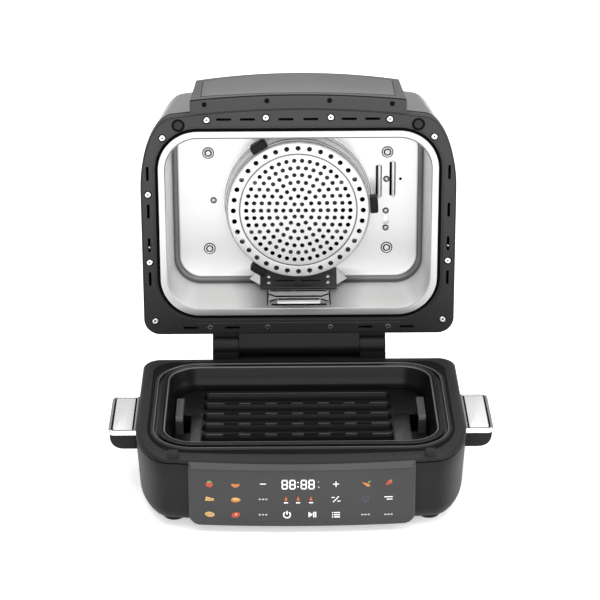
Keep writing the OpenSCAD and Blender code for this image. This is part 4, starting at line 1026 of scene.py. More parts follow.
@dataclass
class Vessel:
    """The lift-out pot and the grill plate in it."""

    rim_z: float = 88.0
    rim_h: float = 3.2
    rim_hw: float = 149.4
    rim_front: float = -98.6
    rim_rear: float = 101.8
    rim_r: float = 36.0
    floor_z: float = 28.0
    sheet: float = 2.0
    plate_z: float = 63.0
    plate_hw: float = 138.68
    plate_front: float = -87.88
    plate_rear: float = 91.08
    plate_r: float = 29.3
    ridge_count: int = 6
    ridge_pitch: float = 27.0
    ridge_len: float = 211.0
    ridge_h: float = 7.0
    notch_h: float = 1.1
    notch_len: float = 16.0
    notch_pitch: float = 29.2
    shift: float = -3.4
    lift_in: float = 5.8
    lift_slot: float = 18.0
    lift_len: float = 56.0
    lift_h: float = 20.0
    lift_w: float = 4.3
    lift_t: float = 2.4
    leg_r: float = 4.0
    leg_z: float = 30.3
    leg_in: float = 34.0

    @property
    def mid(self) -> float:
        """Middle of the plate from front to rear."""
        return (self.plate_front + self.plate_rear) / 2

    def ring(self, d: float) -> Array:
        """The pot's rim outline drawn in by d."""
        r = max(self.rim_r - d, 2.0)
        return outline(self.rim_hw - d, self.rim_front + d, self.rim_rear - d, r, r)

    def pot(self) -> Surface:
        """Lofted pot: floor, fillet, drafted wall, rim, and the same way down inside over a sloping step."""
        top, floor, t = self.rim_z, self.floor_z, self.sheet
        rim, step = top - self.rim_h, self.plate_z + 5.0
        outside = [(40, floor), (9.0, floor), (3.0, rim), (0.0, rim), (0.0, top - 0.2), (1.6, top)]
        inside = [(2.8, top - 1.4), (6.2, step + 6.6), (8.6, step), (11.0, floor + t), (40, floor + t)]
        radii = (0, 15, 1.0, 0.8, 0.8, 0.7, 0.6, 2.0, 2.0, 15, 0)
        return loft(lifted(self.ring, eased(outside + inside, radii, 7)))

    def rim_highlight(self) -> Surface:
        """Painted highlight: a thin bright strip along the rim's inner edge."""
        z = self.rim_z
        return loft(lifted(self.ring, [(1.0, z - 0.5), (1.1, z + 0.1), (2.0, z - 0.05), (2.7, z - 0.9)]),
                    ring=True)

    def seat(self) -> Surface:
        """Ring of the base round the pot's rim, sloping outwards."""
        z, low = self.rim_z, self.rim_z - self.rim_h
        return loft(lifted(self.ring, [(-0.5, low), (-0.5, z - 0.25), (-5.2, z - 0.75), (-5.2, low)]),
                    ring=True)

    def plate_ring(self, d: float) -> Array:
        """The plate's outline drawn in by d, with a cut-out in each side under the lift handles."""
        hw, r, half = self.plate_hw - d, self.plate_r - d, self.lift_len / 2 - 5.0 + d
        inner, mid = self.plate_hw - 8.0 - self.lift_slot / 2 - d, self.mid
        corner = outline(hw, self.plate_front + d, self.plate_rear - d, r, r, 0.0, 10, 0)
        notch = np.array(band(hw, inner, mid - half, mid + half))
        return np.concatenate([corner[:11], notch, corner[11:33], -notch + [0, 2 * mid], corner[33:]])

    def ridge(self, notch: float) -> Surface:
        """One ridge: a rounded bar whose front half is cut down between x steps, with conical ends.

        Along x the top's front half is limited to h - notch * w(x), w being a smoothed square wave, and sinks
        backwards. At an end the profile turns round a vertical axis: x = c + |y| sin t, y = y cos t.

        Args:
            notch: How deep the front half is cut.

        Returns:
            The ridge, its foot at height 0.
        """
        half = np.array([(5.5, -0.4), (4.4, 3.4), (3.4, 6.2), (2.9, 6.8), (2.2, 7.0), (0.25, 7.0)])
        y = np.concatenate([-half[:, 0], half[::-1, 0]])
        z = np.concatenate([half[:, 1], half[::-1, 1]]) * self.ridge_h / 7.0
        end = self.ridge_len / 2 - half[0, 0]
        x = np.linspace(-end, end, 321)
        wave = np.abs((x / self.notch_pitch % 1.0) - 0.5) * self.notch_pitch
        cut = np.clip(self.notch_len / 2 + 0.5 - wave, 0, 1) * (np.abs(x) < 3 * self.notch_pitch)
        sink = np.clip(1.0 + 0.25 * (y + 3.4), 0.6, 1.8)
        heights = np.where(y < 0, np.minimum(z, self.ridge_h - notch * cut[:, None] * sink), z)
        turn = np.linspace(0, QUARTER, 7)[1:, None]
        tip = np.stack(np.broadcast_arrays(end + np.abs(y) * np.sin(turn), y * np.cos(turn), heights[0]),
                       -1)
        body = np.stack(np.broadcast_arrays(x[:, None], y, heights), -1)
        return loft(np.concatenate([(tip * [-1, 1, 1])[::-1], body, tip]))

    def rows(self) -> list[Place]:
        """Places of the ridges from front to rear; the last one is plain."""
        first = self.mid - (self.ridge_count - 1) / 2 * self.ridge_pitch
        return [(self.shift, first + k * self.ridge_pitch, self.plate_z) for k in range(self.ridge_count)]

    def ridge_pit_shades(self) -> Surface:
        """Painted shade: dark patches on the floors of the ridges' notches."""
        half, h = self.notch_len / 2, self.ridge_h
        pit = slab(box_ring(-half, -3.2, half, -0.2, 0.7, 3), h - 1.6, h - 0.35, 0.1, 0.15)
        row = pit.copies([((k + 0.5) * self.notch_pitch, 0.0, 0.0) for k in range(-3, 3)])
        return row.copies(self.rows()[:-1])

    def ridge_highlights(self) -> Surface:
        """Painted highlights: pale strips along the ridges' top edges, between the notches and along the
        plain ridge.
        """
        def edge(half: float) -> Surface:
            """One edge of a half length."""
            h = self.ridge_h
            return slab(box_ring(-half, -3.2, half, -1.9, 0.4, 3), h - 0.6, h + 0.06, 0.1, 0.15)

        gap, end = (self.notch_pitch - self.notch_len) / 2, self.ridge_len / 2 - 6.0
        start = 2.5 * self.notch_pitch + self.notch_len / 2 + 0.3
        middle = edge(gap - 0.2).copies([(k * self.notch_pitch, 0.0, 0.0) for k in range(-2, 3)])
        tails = edge((end - start) / 2).copies([(t * (end + start) / 2, 0.0, 0.0) for t in (-1, 1)])
        one = Surface.join([middle, tails])
        return Surface.join([one.copies(self.rows()[:-1]), edge(end).copies(self.rows()[-1:])])

    def margin_reflections(self) -> Surface:
        """Thin smooth fields of the plate beside the ridges' ends, which carry the painted reflection."""
        y0, y1, z = self.plate_front + 7.0, self.plate_rear - 66.0, self.plate_z
        left, right = (self.shift + s * self.ridge_len / 2 for s in (-1, 1))
        return Surface.join([slab(box_ring(x0, y0, x1, y1, 2.0), z - 0.5, z + 0.07, 0.05, 0.05)
                             for x0, x1 in ((left - 12.0, left - 1.0), (right + 1.0, 121.0))])

    def plate(self) -> Surface:
        """The plate's slab with its ridges and legs."""
        base, rows = slab(self.plate_ring, self.plate_z - 4.0, self.plate_z, 0.8, 1.2), self.rows()
        low, top, r = self.leg_z, self.plate_z - 3.5, self.leg_r
        leg = turned([(AXIS, low), (r - 0.6, low), (r, low + 0.6), (r, top), (AXIS, top)], 20)
        spread = (self.plate_rear - self.plate_front) / 3
        legs = leg.copies([(s * (self.plate_hw - self.leg_in), self.mid + e * spread, 0.0)
                           for s in (-1, 1) for e in (-1, 1)])
        return Surface.join([base, self.ridge(self.notch_h).copies(rows[:-1]),
                             self.ridge(0.0).copies(rows[-1:]), legs])

    def lifts(self) -> Surface:
        """Two bent strips: up from the plate, across and down again."""
        half, low = self.lift_len / 2 - self.lift_t / 2, self.plate_z - 1.0
        y0, y1, top = self.mid - half, self.mid + half, self.plate_z + self.lift_h - self.lift_t / 2
        path = eased([(y0, low), (y0, top), (y1, top), (y1, low)], (0, 5.0, 5.0, 0), 8)
        f = np.linspace(0, 1, 5)[1:-1, None]
        path = np.concatenate([path[:1], path[:1] * (1 - f) + path[1:2] * f, path[1:-1],
                               path[-2:-1] * (1 - f) + path[-1:] * f, path[-1:]])
        strip = carried(path, self.lift_w, self.lift_t)
        return strip.copies([(s * (self.plate_hw - self.lift_in), 0.0, 0.0) for s in (-1, 1)])

    def build(self) -> None:
        """Makes the pot, the plate and its lift handles."""
        piece("pot_skin", self.pot(), POT_COAT, Body.POT, ["cooking_pot"])
        piece("base_pot_seat", self.seat(), POT_COAT, Body.BASE)
        piece("pot_rim_highlight", self.rim_highlight(), EDGE_HIGHLIGHT, Body.POT)
        piece("plate_ridge_highlights", self.ridge_highlights(), RIDGE_HIGHLIGHT, Body.PLATE)
        piece("plate_ridge_pit_shades", self.ridge_pit_shades(), SHADE_BLACK, Body.PLATE)
        piece("plate_margin_reflections", self.margin_reflections(), MARGIN_REFLECTION, Body.PLATE)
        piece("plate_ridged", self.plate(), PLATE_COAT, Body.PLATE, ["grill_plate"])
        piece("plate_lifts", self.lifts(), LIFT, Body.PLATE, ["plate_lift_handles"])


@dataclass
class SideHandle:
    """One side handle: a dark grip under a chrome tray with a brushed inlay."""

    side: Side
    inner: float = 178.8
    reach: float = 210.5
    mid_y: float = 3.5
    length: float = 93.0
    low_z: float = 53.0
    tray_z: float = 70.0
    tray_t: float = 5.0
    rim: float = 3.5
    corner: float = 8.0
    sunk: float = 1.1

    def plan(self, grow: float = 0.0) -> Ring:
        """The tray's outline drawn in by grow and then by d, square at the body and rounded outside."""
        half, r = self.length / 2 - grow, self.corner - grow
        return box_ring(self.inner + grow, self.mid_y - half, self.reach - grow, self.mid_y + half,
                        (r, r, 0.5, 0.5))

    def tray(self) -> Surface:
        """Chrome tray: rounded outside, its top sunk inside the rim."""
        z0, z1, rim = self.tray_z, self.tray_z + self.tray_t, self.rim
        corners = [(6, z0), (0, z0), (0, z1), (rim, z1), (rim, z1 - self.sunk), (8, z1 - self.sunk)]
        return loft(lifted(self.plan(), eased(corners, (0, 1.2, 1.8, 0.5, 0.2, 0), 5)))

    def grip(self) -> Surface:
        """Dark bar under the tray, its lower outer edge rounded."""
        x0, x1, z0, z1, half = self.inner, self.reach - 2.0, self.low_z, self.tray_z, self.length / 2 - 2.0
        profile = eased(band(x0, x1, z0, z1), (0.4, 16.0, 0.6, 0.4), 10, True)
        return along_y(profile, self.mid_y - half, self.mid_y + half, 1.5)

    def build(self) -> None:
        """Makes the handle's pieces."""
        name, flip = self.side.name.lower(), self.side.value
        top = self.tray_z + self.tray_t
        # The seat is painted shade: a dark slab that shows as a dark gap round the inlay
        seat = slab(self.plan(self.rim + 0.1), top - self.sunk, top - 0.9, 0.05, 0.05)
        plate = slab(self.plan(self.rim + 1.9), top - 0.9, top - 0.15, 0.1, 0.3)

        def put(surface: Surface) -> Surface:
            """The piece on its own side of the part."""
            return surface.mapped(lambda x, y, z: (x * flip, y, z))

        piece(f"{name}_handle_bar", put(self.grip()), HOUSING, Body.BASE,
              [f"{name}_handle_grip"])
        piece(f"{name}_handle_tray", put(self.tray()), CHROME, Body.BASE, [f"{name}_handle_trim"])
        piece(f"{name}_handle_seat_shade", put(seat), SHADE_BLACK, Body.BASE)
        piece(f"{name}_handle_plate", put(plate), STEEL_INLAY, Body.BASE,
              [f"{name}_handle_inlay"])


@dataclass
class ControlPanel:
    """The bowed touch panel and the marks on it."""

    half: float = 120.0
    z0: float = 8.5
    z1: float = 80.6
    corner: float = 12.0
    face: float = -141.5
    bow_r: float = 1200.0
    depth: float = 21.0
    edge: float = 2.0
    bevel: float = 4.6
    bevel_from: float = 0.915
    lift: float = 0.14

    def shell(self) -> Surface:
        """The panel as a grid: columns along x, each a loop of its side section.

        The face lies at f + x^2 / 2R. Near its ends a column moves back along a quarter circle, and its
        lower edge rises as z0 + r - sqrt(r^2 - (|x| - c)^2) round the lower corners.

        Returns:
            The panel.
        """
        edge, depth = self.edge, self.depth
        a = np.linspace(0, QUARTER, 6)
        u = np.linspace(-1, 1, 61) * (self.half - edge)
        ends = self.half - edge + edge * np.sin(a[1:])
        x = np.concatenate([-ends[::-1], u, ends])
        turn = edge * (1 - np.cos(a[1:]))
        back = np.concatenate([turn[::-1], np.zeros(61), turn])
        over = np.clip(np.abs(x) - (self.half - self.corner), 0, self.corner)
        low = self.z0 + self.corner - np.sqrt(np.maximum(self.corner ** 2 - over ** 2, 0))
        corners = [(depth, 1.0), (self.bevel, 1.0), (0.0, self.bevel_from), (0.0, 0.0), (depth, 0.0)]
        side = eased(corners, (0, 1.6, 1.6, 2.2, 0), 5)
        bow = x[:, None] ** 2 / (2 * self.bow_r)
        y = self.face + bow + np.minimum(side[:, 0] + back[:, None], depth)
        z = low[:, None] + side[:, 1] * (self.z1 - low[:, None])
        return grid(x[:, None], y, z)

    def band(self) -> Surface:
        """Painted highlight: a thin paler strip on the panel's upper bevel, a section in (back, z) carried
        along x on the bow.
        """
        high = np.array([self.bevel, self.z1])
        low = np.array([0.0, self.z0 + self.bevel_from * (self.z1 - self.z0)])
        normal = np.array([low[1] - high[1], self.bevel]) / np.hypot(self.bevel, high[1] - low[1])
        ends = high + (low - high) * np.array([[0.1], [0.92]])
        loop = np.concatenate([ends + 0.1 * normal, ends[::-1] - 0.4 * normal])
        x = np.linspace(-1, 1, 41)[:, None] * (self.half - 2.5)
        y = self.face + x ** 2 / (2 * self.bow_r) + loop[:, 0]
        return grid(x, y, loop[:, 1])

    def set_in(self, marks: Iterable[Surface]) -> Surface:
        """Marks drawn flat in (x, z, height), laid on the panel's face: y = f + x^2 / 2R - height."""
        flat = Surface.join(marks)
        return flat.mapped(lambda x, z, h: (x, self.face + x * x / (2 * self.bow_r) - h, z))

    def ink(self, points: Array, layer: int = 1) -> Surface:
        """A printed patch: the outline raised by its layer's thickness."""
        return patch(points, -0.3, self.lift * layer)

    def build(self) -> None:
        """Makes the panel, its window and its marks."""
        piece("panel_body", self.shell(), PANEL, Body.BASE, ["control_panel", "led_display"],
              30.0)
        piece("panel_bevel_highlight", self.band(), PANEL_HIGHLIGHT, Body.BASE)
        for name, finish, marks in PanelMarks(self).layers():
            piece(f"panel_marks_{name}", self.set_in(marks), finish, Body.BASE)


def disc(x: float, z: float, rx: float, rz: float, turn: float = 0.0, wave: float = 0.0, lobes: int = 3,
         steps: int = 28) -> Array:
    """Outline of an oval with lobes: r(t) = 1 + wave cos(lobes t), scaled, turned by degrees and placed."""
    t = around(steps)
    r = 1 + wave * np.cos(lobes * t)
    px, pz = rx * r * np.cos(t), rz * r * np.sin(t)
    return swivel(px, pz, turn) + [x, z]


def bar(x: float, z: float, w: float, h: float, turn: float = 0.0) -> Array:
    """Outline of a rounded bar, turned by degrees about its middle."""
    p = box_ring(-w / 2, -h / 2, w / 2, h / 2, min(w, h) * 0.3, 3)(0.0)
    return swivel(p[:, 0], p[:, 1], turn) + [x, z]


def arc_band(x: float, z: float, r: float, w: float, start: float, end: float) -> Array:
    """Outline of a band of width w along a circle from start to end degrees."""
    t = np.radians(np.linspace(start, end, 25))
    ring = np.column_stack([np.cos(t), np.sin(t)])
    return np.concatenate([(r + w / 2) * ring, ((r - w / 2) * ring)[::-1]]) + [x, z]


def drop(x: float, z: float, w: float, h: float, turn: float = 0.0) -> Array:
    """Outline of a teardrop: x = w sin t sin^2(t / 2), z = h cos t, placed and turned by degrees."""
    t = around(32)
    px, pz = w * np.sin(t) * np.sin(t / 2) ** 2, h * np.cos(t)
    return swivel(px, pz, turn) + [x, z]


@dataclass
class PanelMarks:
    """Generic marks of the touch panel, sorted by colour."""

    panel: ControlPanel
    columns: tuple[float, ...] = (-97.7, -70.2, -41.2, 35.7, 66.9, 91.3)
    rows: tuple[float, ...] = (58.2, 40.8, 22.6)
    flames: tuple[float, ...] = (-17.0, -4.3, 9.4)
    figures: tuple[float, ...] = (-18.2, -10.1, 1.8, 9.9)
    figures_z: float = 58.7
    keys_z: float = 23.2

    def digit(self, x: float, z: float, w: float, h: float) -> list[Array]:
        """The seven bars of a lit figure eight."""
        t, gap = 1.35, 0.25
        across = [(x, z + k * h / 2, w - t - gap, t) for k in (-1, 0, 1)]
        upright = [(x + s * (w - t) / 2, z + k * h / 4, t, h / 2 - t * 0.5 - gap) for s in (-1, 1)
                   for k in (-1, 1)]
        return [bar(*b) for b in across + upright]

    def white(self) -> list[Array]:
        """Digits, signs and bare bars in place of words."""
        minus, plus, last = self.columns[2], self.columns[3], self.columns[5]
        lines = [self.rows[2] + k for k in (-2.6, 0.0, 2.6)]
        high, keys = self.figures_z, self.keys_z
        marks = [p for x in self.figures for p in self.digit(x, high, 6.6, 9.6)]
        marks += [disc(-4.3, high + k, 0.8, 0.8) for k in (-2.4, 2.4)]
        marks += [bar(minus, 59.3, 6.4, 0.8), bar(plus, high, 6.4, 0.8), bar(plus, high, 0.8, 6.4)]
        marks += [arc_band(-16.0, keys, 3.6, 1.1, 125, 415), bar(-16.0, 25.6, 1.1, 4.2)]
        marks += [np.array([(6.8, 20.0), (11.0, keys), (6.8, 26.4)])]
        marks += [bar(x, keys, 1.2, 6.4) for x in (12.2, 14.2)]
        marks += [bar(36.8, z, 6.4, 0.9) for z in lines]
        marks += [disc(32.2, z, 0.6, 0.6) for z in lines]
        marks += [bar(plus, 41.0, 9.0, 0.8, 48.0), bar(32.6, 43.2, 3.4, 0.8), bar(38.8, 38.8, 3.4, 0.8)]
        marks += [bar(last + dx, 40.6 + dz, w, 0.8) for dx, dz, w in ((0.0, 1.4, 9.0), (1.2, -1.4, 6.4))]
        marks += [bar(x, 37.4, 4.4, 1.1) for x in self.flames]
        return marks

    def grey(self) -> list[Array]:
        """Short bars where the keys carry words."""
        places = [(-41.2, 41.4), (-41.4, 23.2), (67.0, 22.0), (91.4, 21.2)]
        words = [bar(x + dx, z, 2.4, 1.5) for x, z in places for dx in (-3.4, 0.0, 3.4)]
        return words + [disc(17.2, 61.6, 0.7, 0.7), disc(17.6, 55.4, 0.9, 0.9)]

    def layers(self) -> list[tuple[str, Finish, list[Surface]]]:
        """Each colour's patches: tomato, roll, loaf, cookie, wedge of cheese, chop, carrot and pepper."""
        (c0, c1, _, _, c4, c5), (top, mid, low) = self.columns, self.rows
        ink = self.panel.ink
        red = [ink(disc(c0, top - 0.4, 3.8, 3.5, 0, 0.04, 5)), ink(disc(c1, low, 4.3, 3.4, 20, 0.1, 2)),
               ink(drop(c5 - 0.4, top, 3.6, 4.6, 130.0))]
        red += [ink(drop(x, 42.6, 2.4, 3.0)) for x in self.flames]
        orange = [ink(arc_band(c1, top + 1.4, 3.0, 3.4, 190, 350)),
                  ink(drop(c4, top - 0.2, 2.6, 5.2, 60.0)),
                  ink(disc(c1, mid - 0.6, 5.0, 2.8, 0, 0.05, 3))]
        orange += [ink(drop(x, 41.8, 1.3, 1.7), 2) for x in self.flames]
        yellow = [ink(np.array([(c0 - 4.8, mid - 2.2), (c0 + 4.6, mid - 2.2), (c0 + 4.6, mid + 0.6),
                                (c0 - 3.6, mid + 2.6)])),
                  ink(disc(c0, low, 5.0, 2.9, -6.0, 0.03, 4)), ink(disc(c1 + 0.3, mid + 0.6, 3.8, 1.5), 2),
                  ink(disc(c1 + 0.4, low + 0.5, 1.5, 1.1), 2)]
        brown = [ink(bar(c0 + k, low + 0.3, 0.7, 3.2, 20.0), 2) for k in (-2.2, 0.0, 2.2)]
        brown += [ink(disc(c0 + dx, mid + dz, 0.8, 0.6), 2)
                  for dx, dz in ((-1.6, -0.6), (1.2, 0.1), (2.8, -1.3))]
        brown += [ink(arc_band(c1, top + 1.4, 3.0, 0.6, 210 + 40 * k, 222 + 40 * k), 2) for k in range(4)]
        green = [ink(disc(c0, top + 2.8, 2.2, 1.1, 0, 0.35, 5), 2),
                 ink(disc(c4 + 3.9, top + 2.2, 1.7, 0.8, 30.0, 0.3, 3), 2),
                 ink(bar(c5 + 2.6, top + 2.9, 2.6, 1.0, 40.0), 2)]
        dim = [ink(p) for p in (arc_band(c4, mid, 3.4, 0.7, 0, 359), bar(c4, mid, 3.4, 0.6),
                                bar(c4, mid - 1.4, 3.4, 0.6))]
        return [("white", MARK_WHITE, [ink(p) for p in self.white()]),
                ("grey", MARK_GREY, [ink(p) for p in self.grey()]),
                ("red", MARK_RED, red), ("orange", MARK_ORANGE, orange), ("yellow", MARK_YELLOW, yellow),
                ("brown", MARK_BROWN, brown), ("green", MARK_GREEN, green), ("dim", MARK_DIM, dim)]


@dataclass
class HingeBlock:
    """The hinge between base and lid."""

    y: float = STANCE.hinge_y
    z: float = STANCE.hinge_z
    r: float = 11.0
    width: float = 200.0
    knuckle: float = 30.0
    play: float = 0.06
    low: float = 44.0
    body_rear: float = 137.5
    lid_rear: float = 136.5
    lid_z: float = LID_Z

    def round_top(self, start: float, end: float) -> Array:
        """Points of the barrel's circle from start to end degrees."""
        t = np.radians(np.linspace(start, end, 22))
        return np.column_stack([self.y + self.r * np.cos(t), self.z + self.r * np.sin(t)])

    def knuckle_profile(self) -> Array:
        """Side view of a knuckle: a round head on a block that meets the base's rear."""
        block = np.array([(self.body_rear - 1.5, self.lid_z - 0.8), (self.body_rear - 1.5, self.low),
                          (self.y + self.r, self.low)])
        return np.concatenate([self.round_top(0.0, 200.0), block])

    def barrel_profile(self) -> Array:
        """Side view of the barrel: a circle with an arm to the lid's rear."""
        arm = np.array([(self.lid_rear - 1.0, self.z + self.r - 0.2),
                        (self.lid_rear - 1.0, self.lid_z + 0.2)])
        return np.concatenate([self.round_top(-90.0, 90.0), arm, self.round_top(-106.0, -91.0)])

    def block(self, half: float) -> Surface:
        """Block under the barrel, between the knuckles."""
        y0, y1, z1 = self.body_rear - 1.5, self.y + self.r, self.z - self.r - 2 * self.play
        return along_x(eased(band(y0, y1, self.low, z1), 1.5, 3, True), -half, half, 0.6)

    def strips(self) -> Surface:
        """Strips of the lid over the two knuckles."""
        y0, y1 = self.lid_rear - 1.0, self.y - self.r - 2 * self.play
        profile = eased(band(y0, y1, self.lid_z, self.z + self.r), 0.8, 3, True)
        edge = self.width / 2
        return Surface.join([along_x(profile, -edge, self.knuckle - edge, 0.5),
                             along_x(profile, edge - self.knuckle, edge, 0.5)])

    def build(self) -> None:
        """Makes the knuckles and the barrel."""
        edge, half = self.width / 2, self.width / 2 - self.knuckle - self.play
        profile = self.knuckle_profile()
        ends = [along_x(profile, -edge, self.knuckle - edge, 1.0),
                along_x(profile, edge - self.knuckle, edge, 1.0), self.block(half)]
        middle = Surface.join([along_x(self.barrel_profile(), -half, half, 0.6), self.strips()])
        piece("hinge_ends", Surface.join(ends), HOUSING, Body.BASE, ["hinge_knuckles"])
        piece("hinge_middle", middle, HOUSING, Body.LID, ["hinge_barrel"])


@dataclass
class Lid:
    """The lid: frame, steel shell, steel liner, gasket and their fasteners."""

    hw: float = 179.0
    front: float = -120.2
    rear: float = 136.5
    front_r: float = 36.0
    front_l: float = 81.0
    rear_r: float = 19.0
    bow: float = 15.0
    z: float = LID_Z
    face: float = 3.0
    skirt: float = 14.0
    height: float = 118.0
    crown_r: float = 22.0
    draft: float = 12.0
    front_draft: float = 1.0
    sheet: float = 0.6
    row: float = 8.5
    step: float = 66.2
    liner_hw: float = 158.4
    liner_front: float = -108.2
    liner_rear: float = 112.6
    liner_r: float = 45.0
    flange: float = 8.6
    cavity: float = 79.0
    cavity_draft: float = 5.0
    upright: float = 22.0
    fillet: float = 10.0
    gasket: float = 3.0

    def ring(self, d: float) -> Array:
        """The frame's outline drawn in by d."""
        return outline(self.hw - d, self.front + d, self.rear - d, self.front_r - d, self.rear_r - d,
                       self.bow, length=self.front_l - d)

    def shell_ring(self, d: float, front_d: float) -> Array:
        """The lid's outline drawn in by d, and by front_d at the front."""
        return outline(self.hw - d, self.front + front_d, self.rear - d, max(self.front_r - 0.2 * d, 4.0),
                       max(self.rear_r - d, 3.0), self.bow,
                       length=self.front_l - d)

    def liner_ring(self, d: float) -> Array:
        """The liner's outline drawn in by d."""
        r = max(self.liner_r - d, 2.0)
        return outline(self.liner_hw - d, self.liner_front + d, self.liner_rear - d, r, r)

    def front_edge(self, x: Array | float) -> Array | float:
        """The frame's front edge at x."""
        return self.front - self.bow * (1 - (x / self.hw) ** 2)

    def frame(self) -> Surface:
        """Lofted frame: skirt, rounded outer edge, flat face, and a shallow step down to the gasket."""
        z, low, inner = self.z, self.z + self.skirt, -self.gasket - 0.5
        outer = eased([(2.4, low), (0.0, low), (0.0, z), (4.0, z)], (0, 0.5, 2.2, 0), 5)
        lip = eased([(inner - 3.2, z), (inner - 2.6, z), (inner - 2.2, z + 0.7), (inner, z + 0.7),
                     (inner, z + 4.0), (inner - 4.0, z + self.face)],
                    (0, 0.3, 0.3, 0.5, 0, 0), 3)
        rows = [level(self.ring(d), h) for d, h in outer] + [level(self.liner_ring(d), h) for d, h in lip]
        rows += [level(self.ring(2.4), z + self.face)]
        return loft(np.stack(rows), ring=True)

    def slots(self) -> Surface:
        """Cutters of the frame's slots and of the two plugs' recesses."""
        along = slab(box_ring(-8.4, -1.5, 8.4, 1.5, 0.8, 3), self.z - 2.0, self.z + 6.0, 0.1, 0.1)
        upright = along.mapped(lambda x, y, z: (y, x, z))
        front = [(s * k * self.step, self.front - 0.15 * self.bow, 0.0) for k in (0.21, 0.86, 1.26)
                 for s in (-1, 1)]
        back = [(s * k * self.step, self.rear - self.row, 0.0) for k in (1.16, 1.89) for s in (-1, 1)]
        sides = [(s * (self.hw - self.row), y, 0.0) for y in (-59.2, -14.4, 26.2, 67.4) for s in (-1, 1)]
        plug = slab(round_ring(7.5), self.z - 2.0, self.z + 1.5, 0.1, 0.1)
        return Surface.join([along.copies(front + back), upright.copies(sides),
                             plug.copies(self.plug_places())])

    def plug_places(self) -> list[Place]:
        """Middles of the two rubber plugs in the frame's front corners."""
        return [(s * (self.hw - self.front_r * 1.235), self.front + self.front_l * 0.055, 0.0)
                for s in (-1, 1)]

    def plugs(self) -> Surface:
        """Slightly domed plugs, smaller than their recesses."""
        plug = turned(eased([(AXIS, self.z - 0.35), (4.2, self.z - 0.2), (5.0, self.z + 0.4),
                             (5.0, self.z + 1.5), (AXIS, self.z + 1.5)], 0.5), 36)
        return plug.copies(self.plug_places())

    def plug_shade_rings(self) -> Surface:
        """Painted shade: dark rings at the bottom of the plugs' recesses."""
        loop = band(4.8, 7.45, self.z + 0.2, self.z + 1.5)
        return turned(loop, 36, ring=True).copies(self.plug_places())

    def screw_rows(self) -> Array:
        """Places along x of the front and rear rows of screws."""
        return np.array([s * k * self.step for k in (0.55, 1.55) for s in (-1, 1)])

    def screw_places(self) -> list[Place]:
        """Middles of the frame's screws at its front, sides and corners."""
        places = [(x, self.front_edge(0.75 * x) + self.row + 2.0, 0.0) for x in self.screw_rows()]
        corners = [(self.front_r * 0.73, self.front + self.front_l * 0.235), (self.row, 47.2),
                   (self.rear_r * 0.7, self.rear - self.rear_r * 0.9)]
        places += [(s * (self.hw - dx), y, 0.0) for s in (-1, 1) for dx, y in corners]
        return places + [(self.row - self.hw, -34.4, 0.0)]

    def rear_screw_places(self) -> list[Place]:
        """Middles of the frame's screws beside the hinge."""
        return [(x, self.rear - self.row, 0.0) for x in self.screw_rows()]

    def screws(self, places: list[Place]) -> Surface:
        """Round washers with a sunk middle at each place."""
        z = self.z
        head = turned(eased([(AXIS, z + 0.5), (0.8, z + 0.5), (1.1, z - 0.25), (2.9, z - 0.3),
                             (3.5, z + 0.2), (3.5, z + 1.0)], (0, 0.1, 0.2, 0.4, 0.3, 0), 3), 24)
        return head.copies(places)

    def slot_pins(self) -> Surface:
        """Small domed heads that show in the third slot of each side."""
        pin = turned(eased([(AXIS, self.z + 0.3), (0.8, self.z + 0.4), (1.25, self.z + 1.2),
                            (1.25, self.z + 2.6)], (0, 0.3, 0.4, 0), 3), 16)
        return pin.copies([(s * (self.hw - self.row), 29.0, 0.0) for s in (-1, 1)])

    def shell(self) -> Surface:
        """Lofted sheet: drafted walls and a crown, d = r (1 - cos a) and z = top - r (1 - sin a)."""
        a = np.linspace(0, QUARTER, 17)
        low, top, t = self.z + self.skirt, self.z + self.height, self.sheet

        def crown(a: float, k: float) -> Array:
            """Row of the rounded top at angle a, k sheets further in."""
            d = self.crown_r * (1 - math.cos(a)) + k * t * math.cos(a)
            return level(self.shell_ring(self.draft + d, self.front_draft + d),
                         top - self.crown_r * (1 - math.sin(a)) - k * t * math.sin(a))

        rows = [crown(v, 1.0) for v in a[::-1]]
        rows += [level(self.shell_ring(t, t), low - 1.0), level(self.shell_ring(0.15, 0.15), low - 1.0),
                 level(self.shell_ring(0.15, 0.15), low)]
        rows += [crown(v, 0.0) for v in a]
        return loft(np.stack(rows))

    def outlets(self) -> Surface:
        """Cutters of the outlet slots in the shell's rear wall."""
        slot = slab(box_ring(-2.0, 0.0, 2.0, 26.0, 1.9), -12.0, 12.0, 0.1,
                    0.1).mapped(lambda x, z, y: (x, y, z))
        return slot.copies([((k - 6) * 9.6, self.rear, self.z + self.skirt + 16.0) for k in range(13)])

    def liner(self) -> Surface:
        """Lofted sheet: flange, rounded mouth, drafted walls, fillet and roof, and its outside."""
        z, roof, t, f = self.z, self.z + self.cavity, self.sheet, self.flange
        bend = z + self.upright
        inside = [(60.0, roof), (f + self.cavity_draft, roof), (f + 0.15, bend), (f, z), (0.0, z)]
        outside = [(0.0, z + t), (f - t, z + t), (f + 0.15 - t, bend),
                   (f + self.cavity_draft - t, roof + t), (60.0, roof + t)]
        section = np.concatenate([eased(inside, (0, self.fillet, 9.0, 1.6, 0), 9),
                                  eased(outside, (0, 1.6, 9.0, self.fillet, 0), 9)])
        return loft(lifted(self.liner_ring, section))

    def mouth_shade_line(self) -> Surface:
        """Painted shade: a thin darker line on the flange along the liner's mouth."""
        f, z = self.flange, self.z
        section = [(f - 1.6, z + 0.6), (f - 1.6, z - 0.05), (f - 0.7, z + 0.04), (f - 0.4, z + 0.6)]
        return loft(lifted(self.liner_ring, section), ring=True)

    def painted_fold_line(self) -> Surface:
        """Painted highlight: a thin paler bar along the frame's face beside the hinge."""
        y = self.liner_rear + self.gasket + 6.2
        return slab(box_ring(-118.0, y, 118.0, y + 0.9, 0.3, 3), self.z - 0.06, self.z + 0.6, 0.05, 0.05)

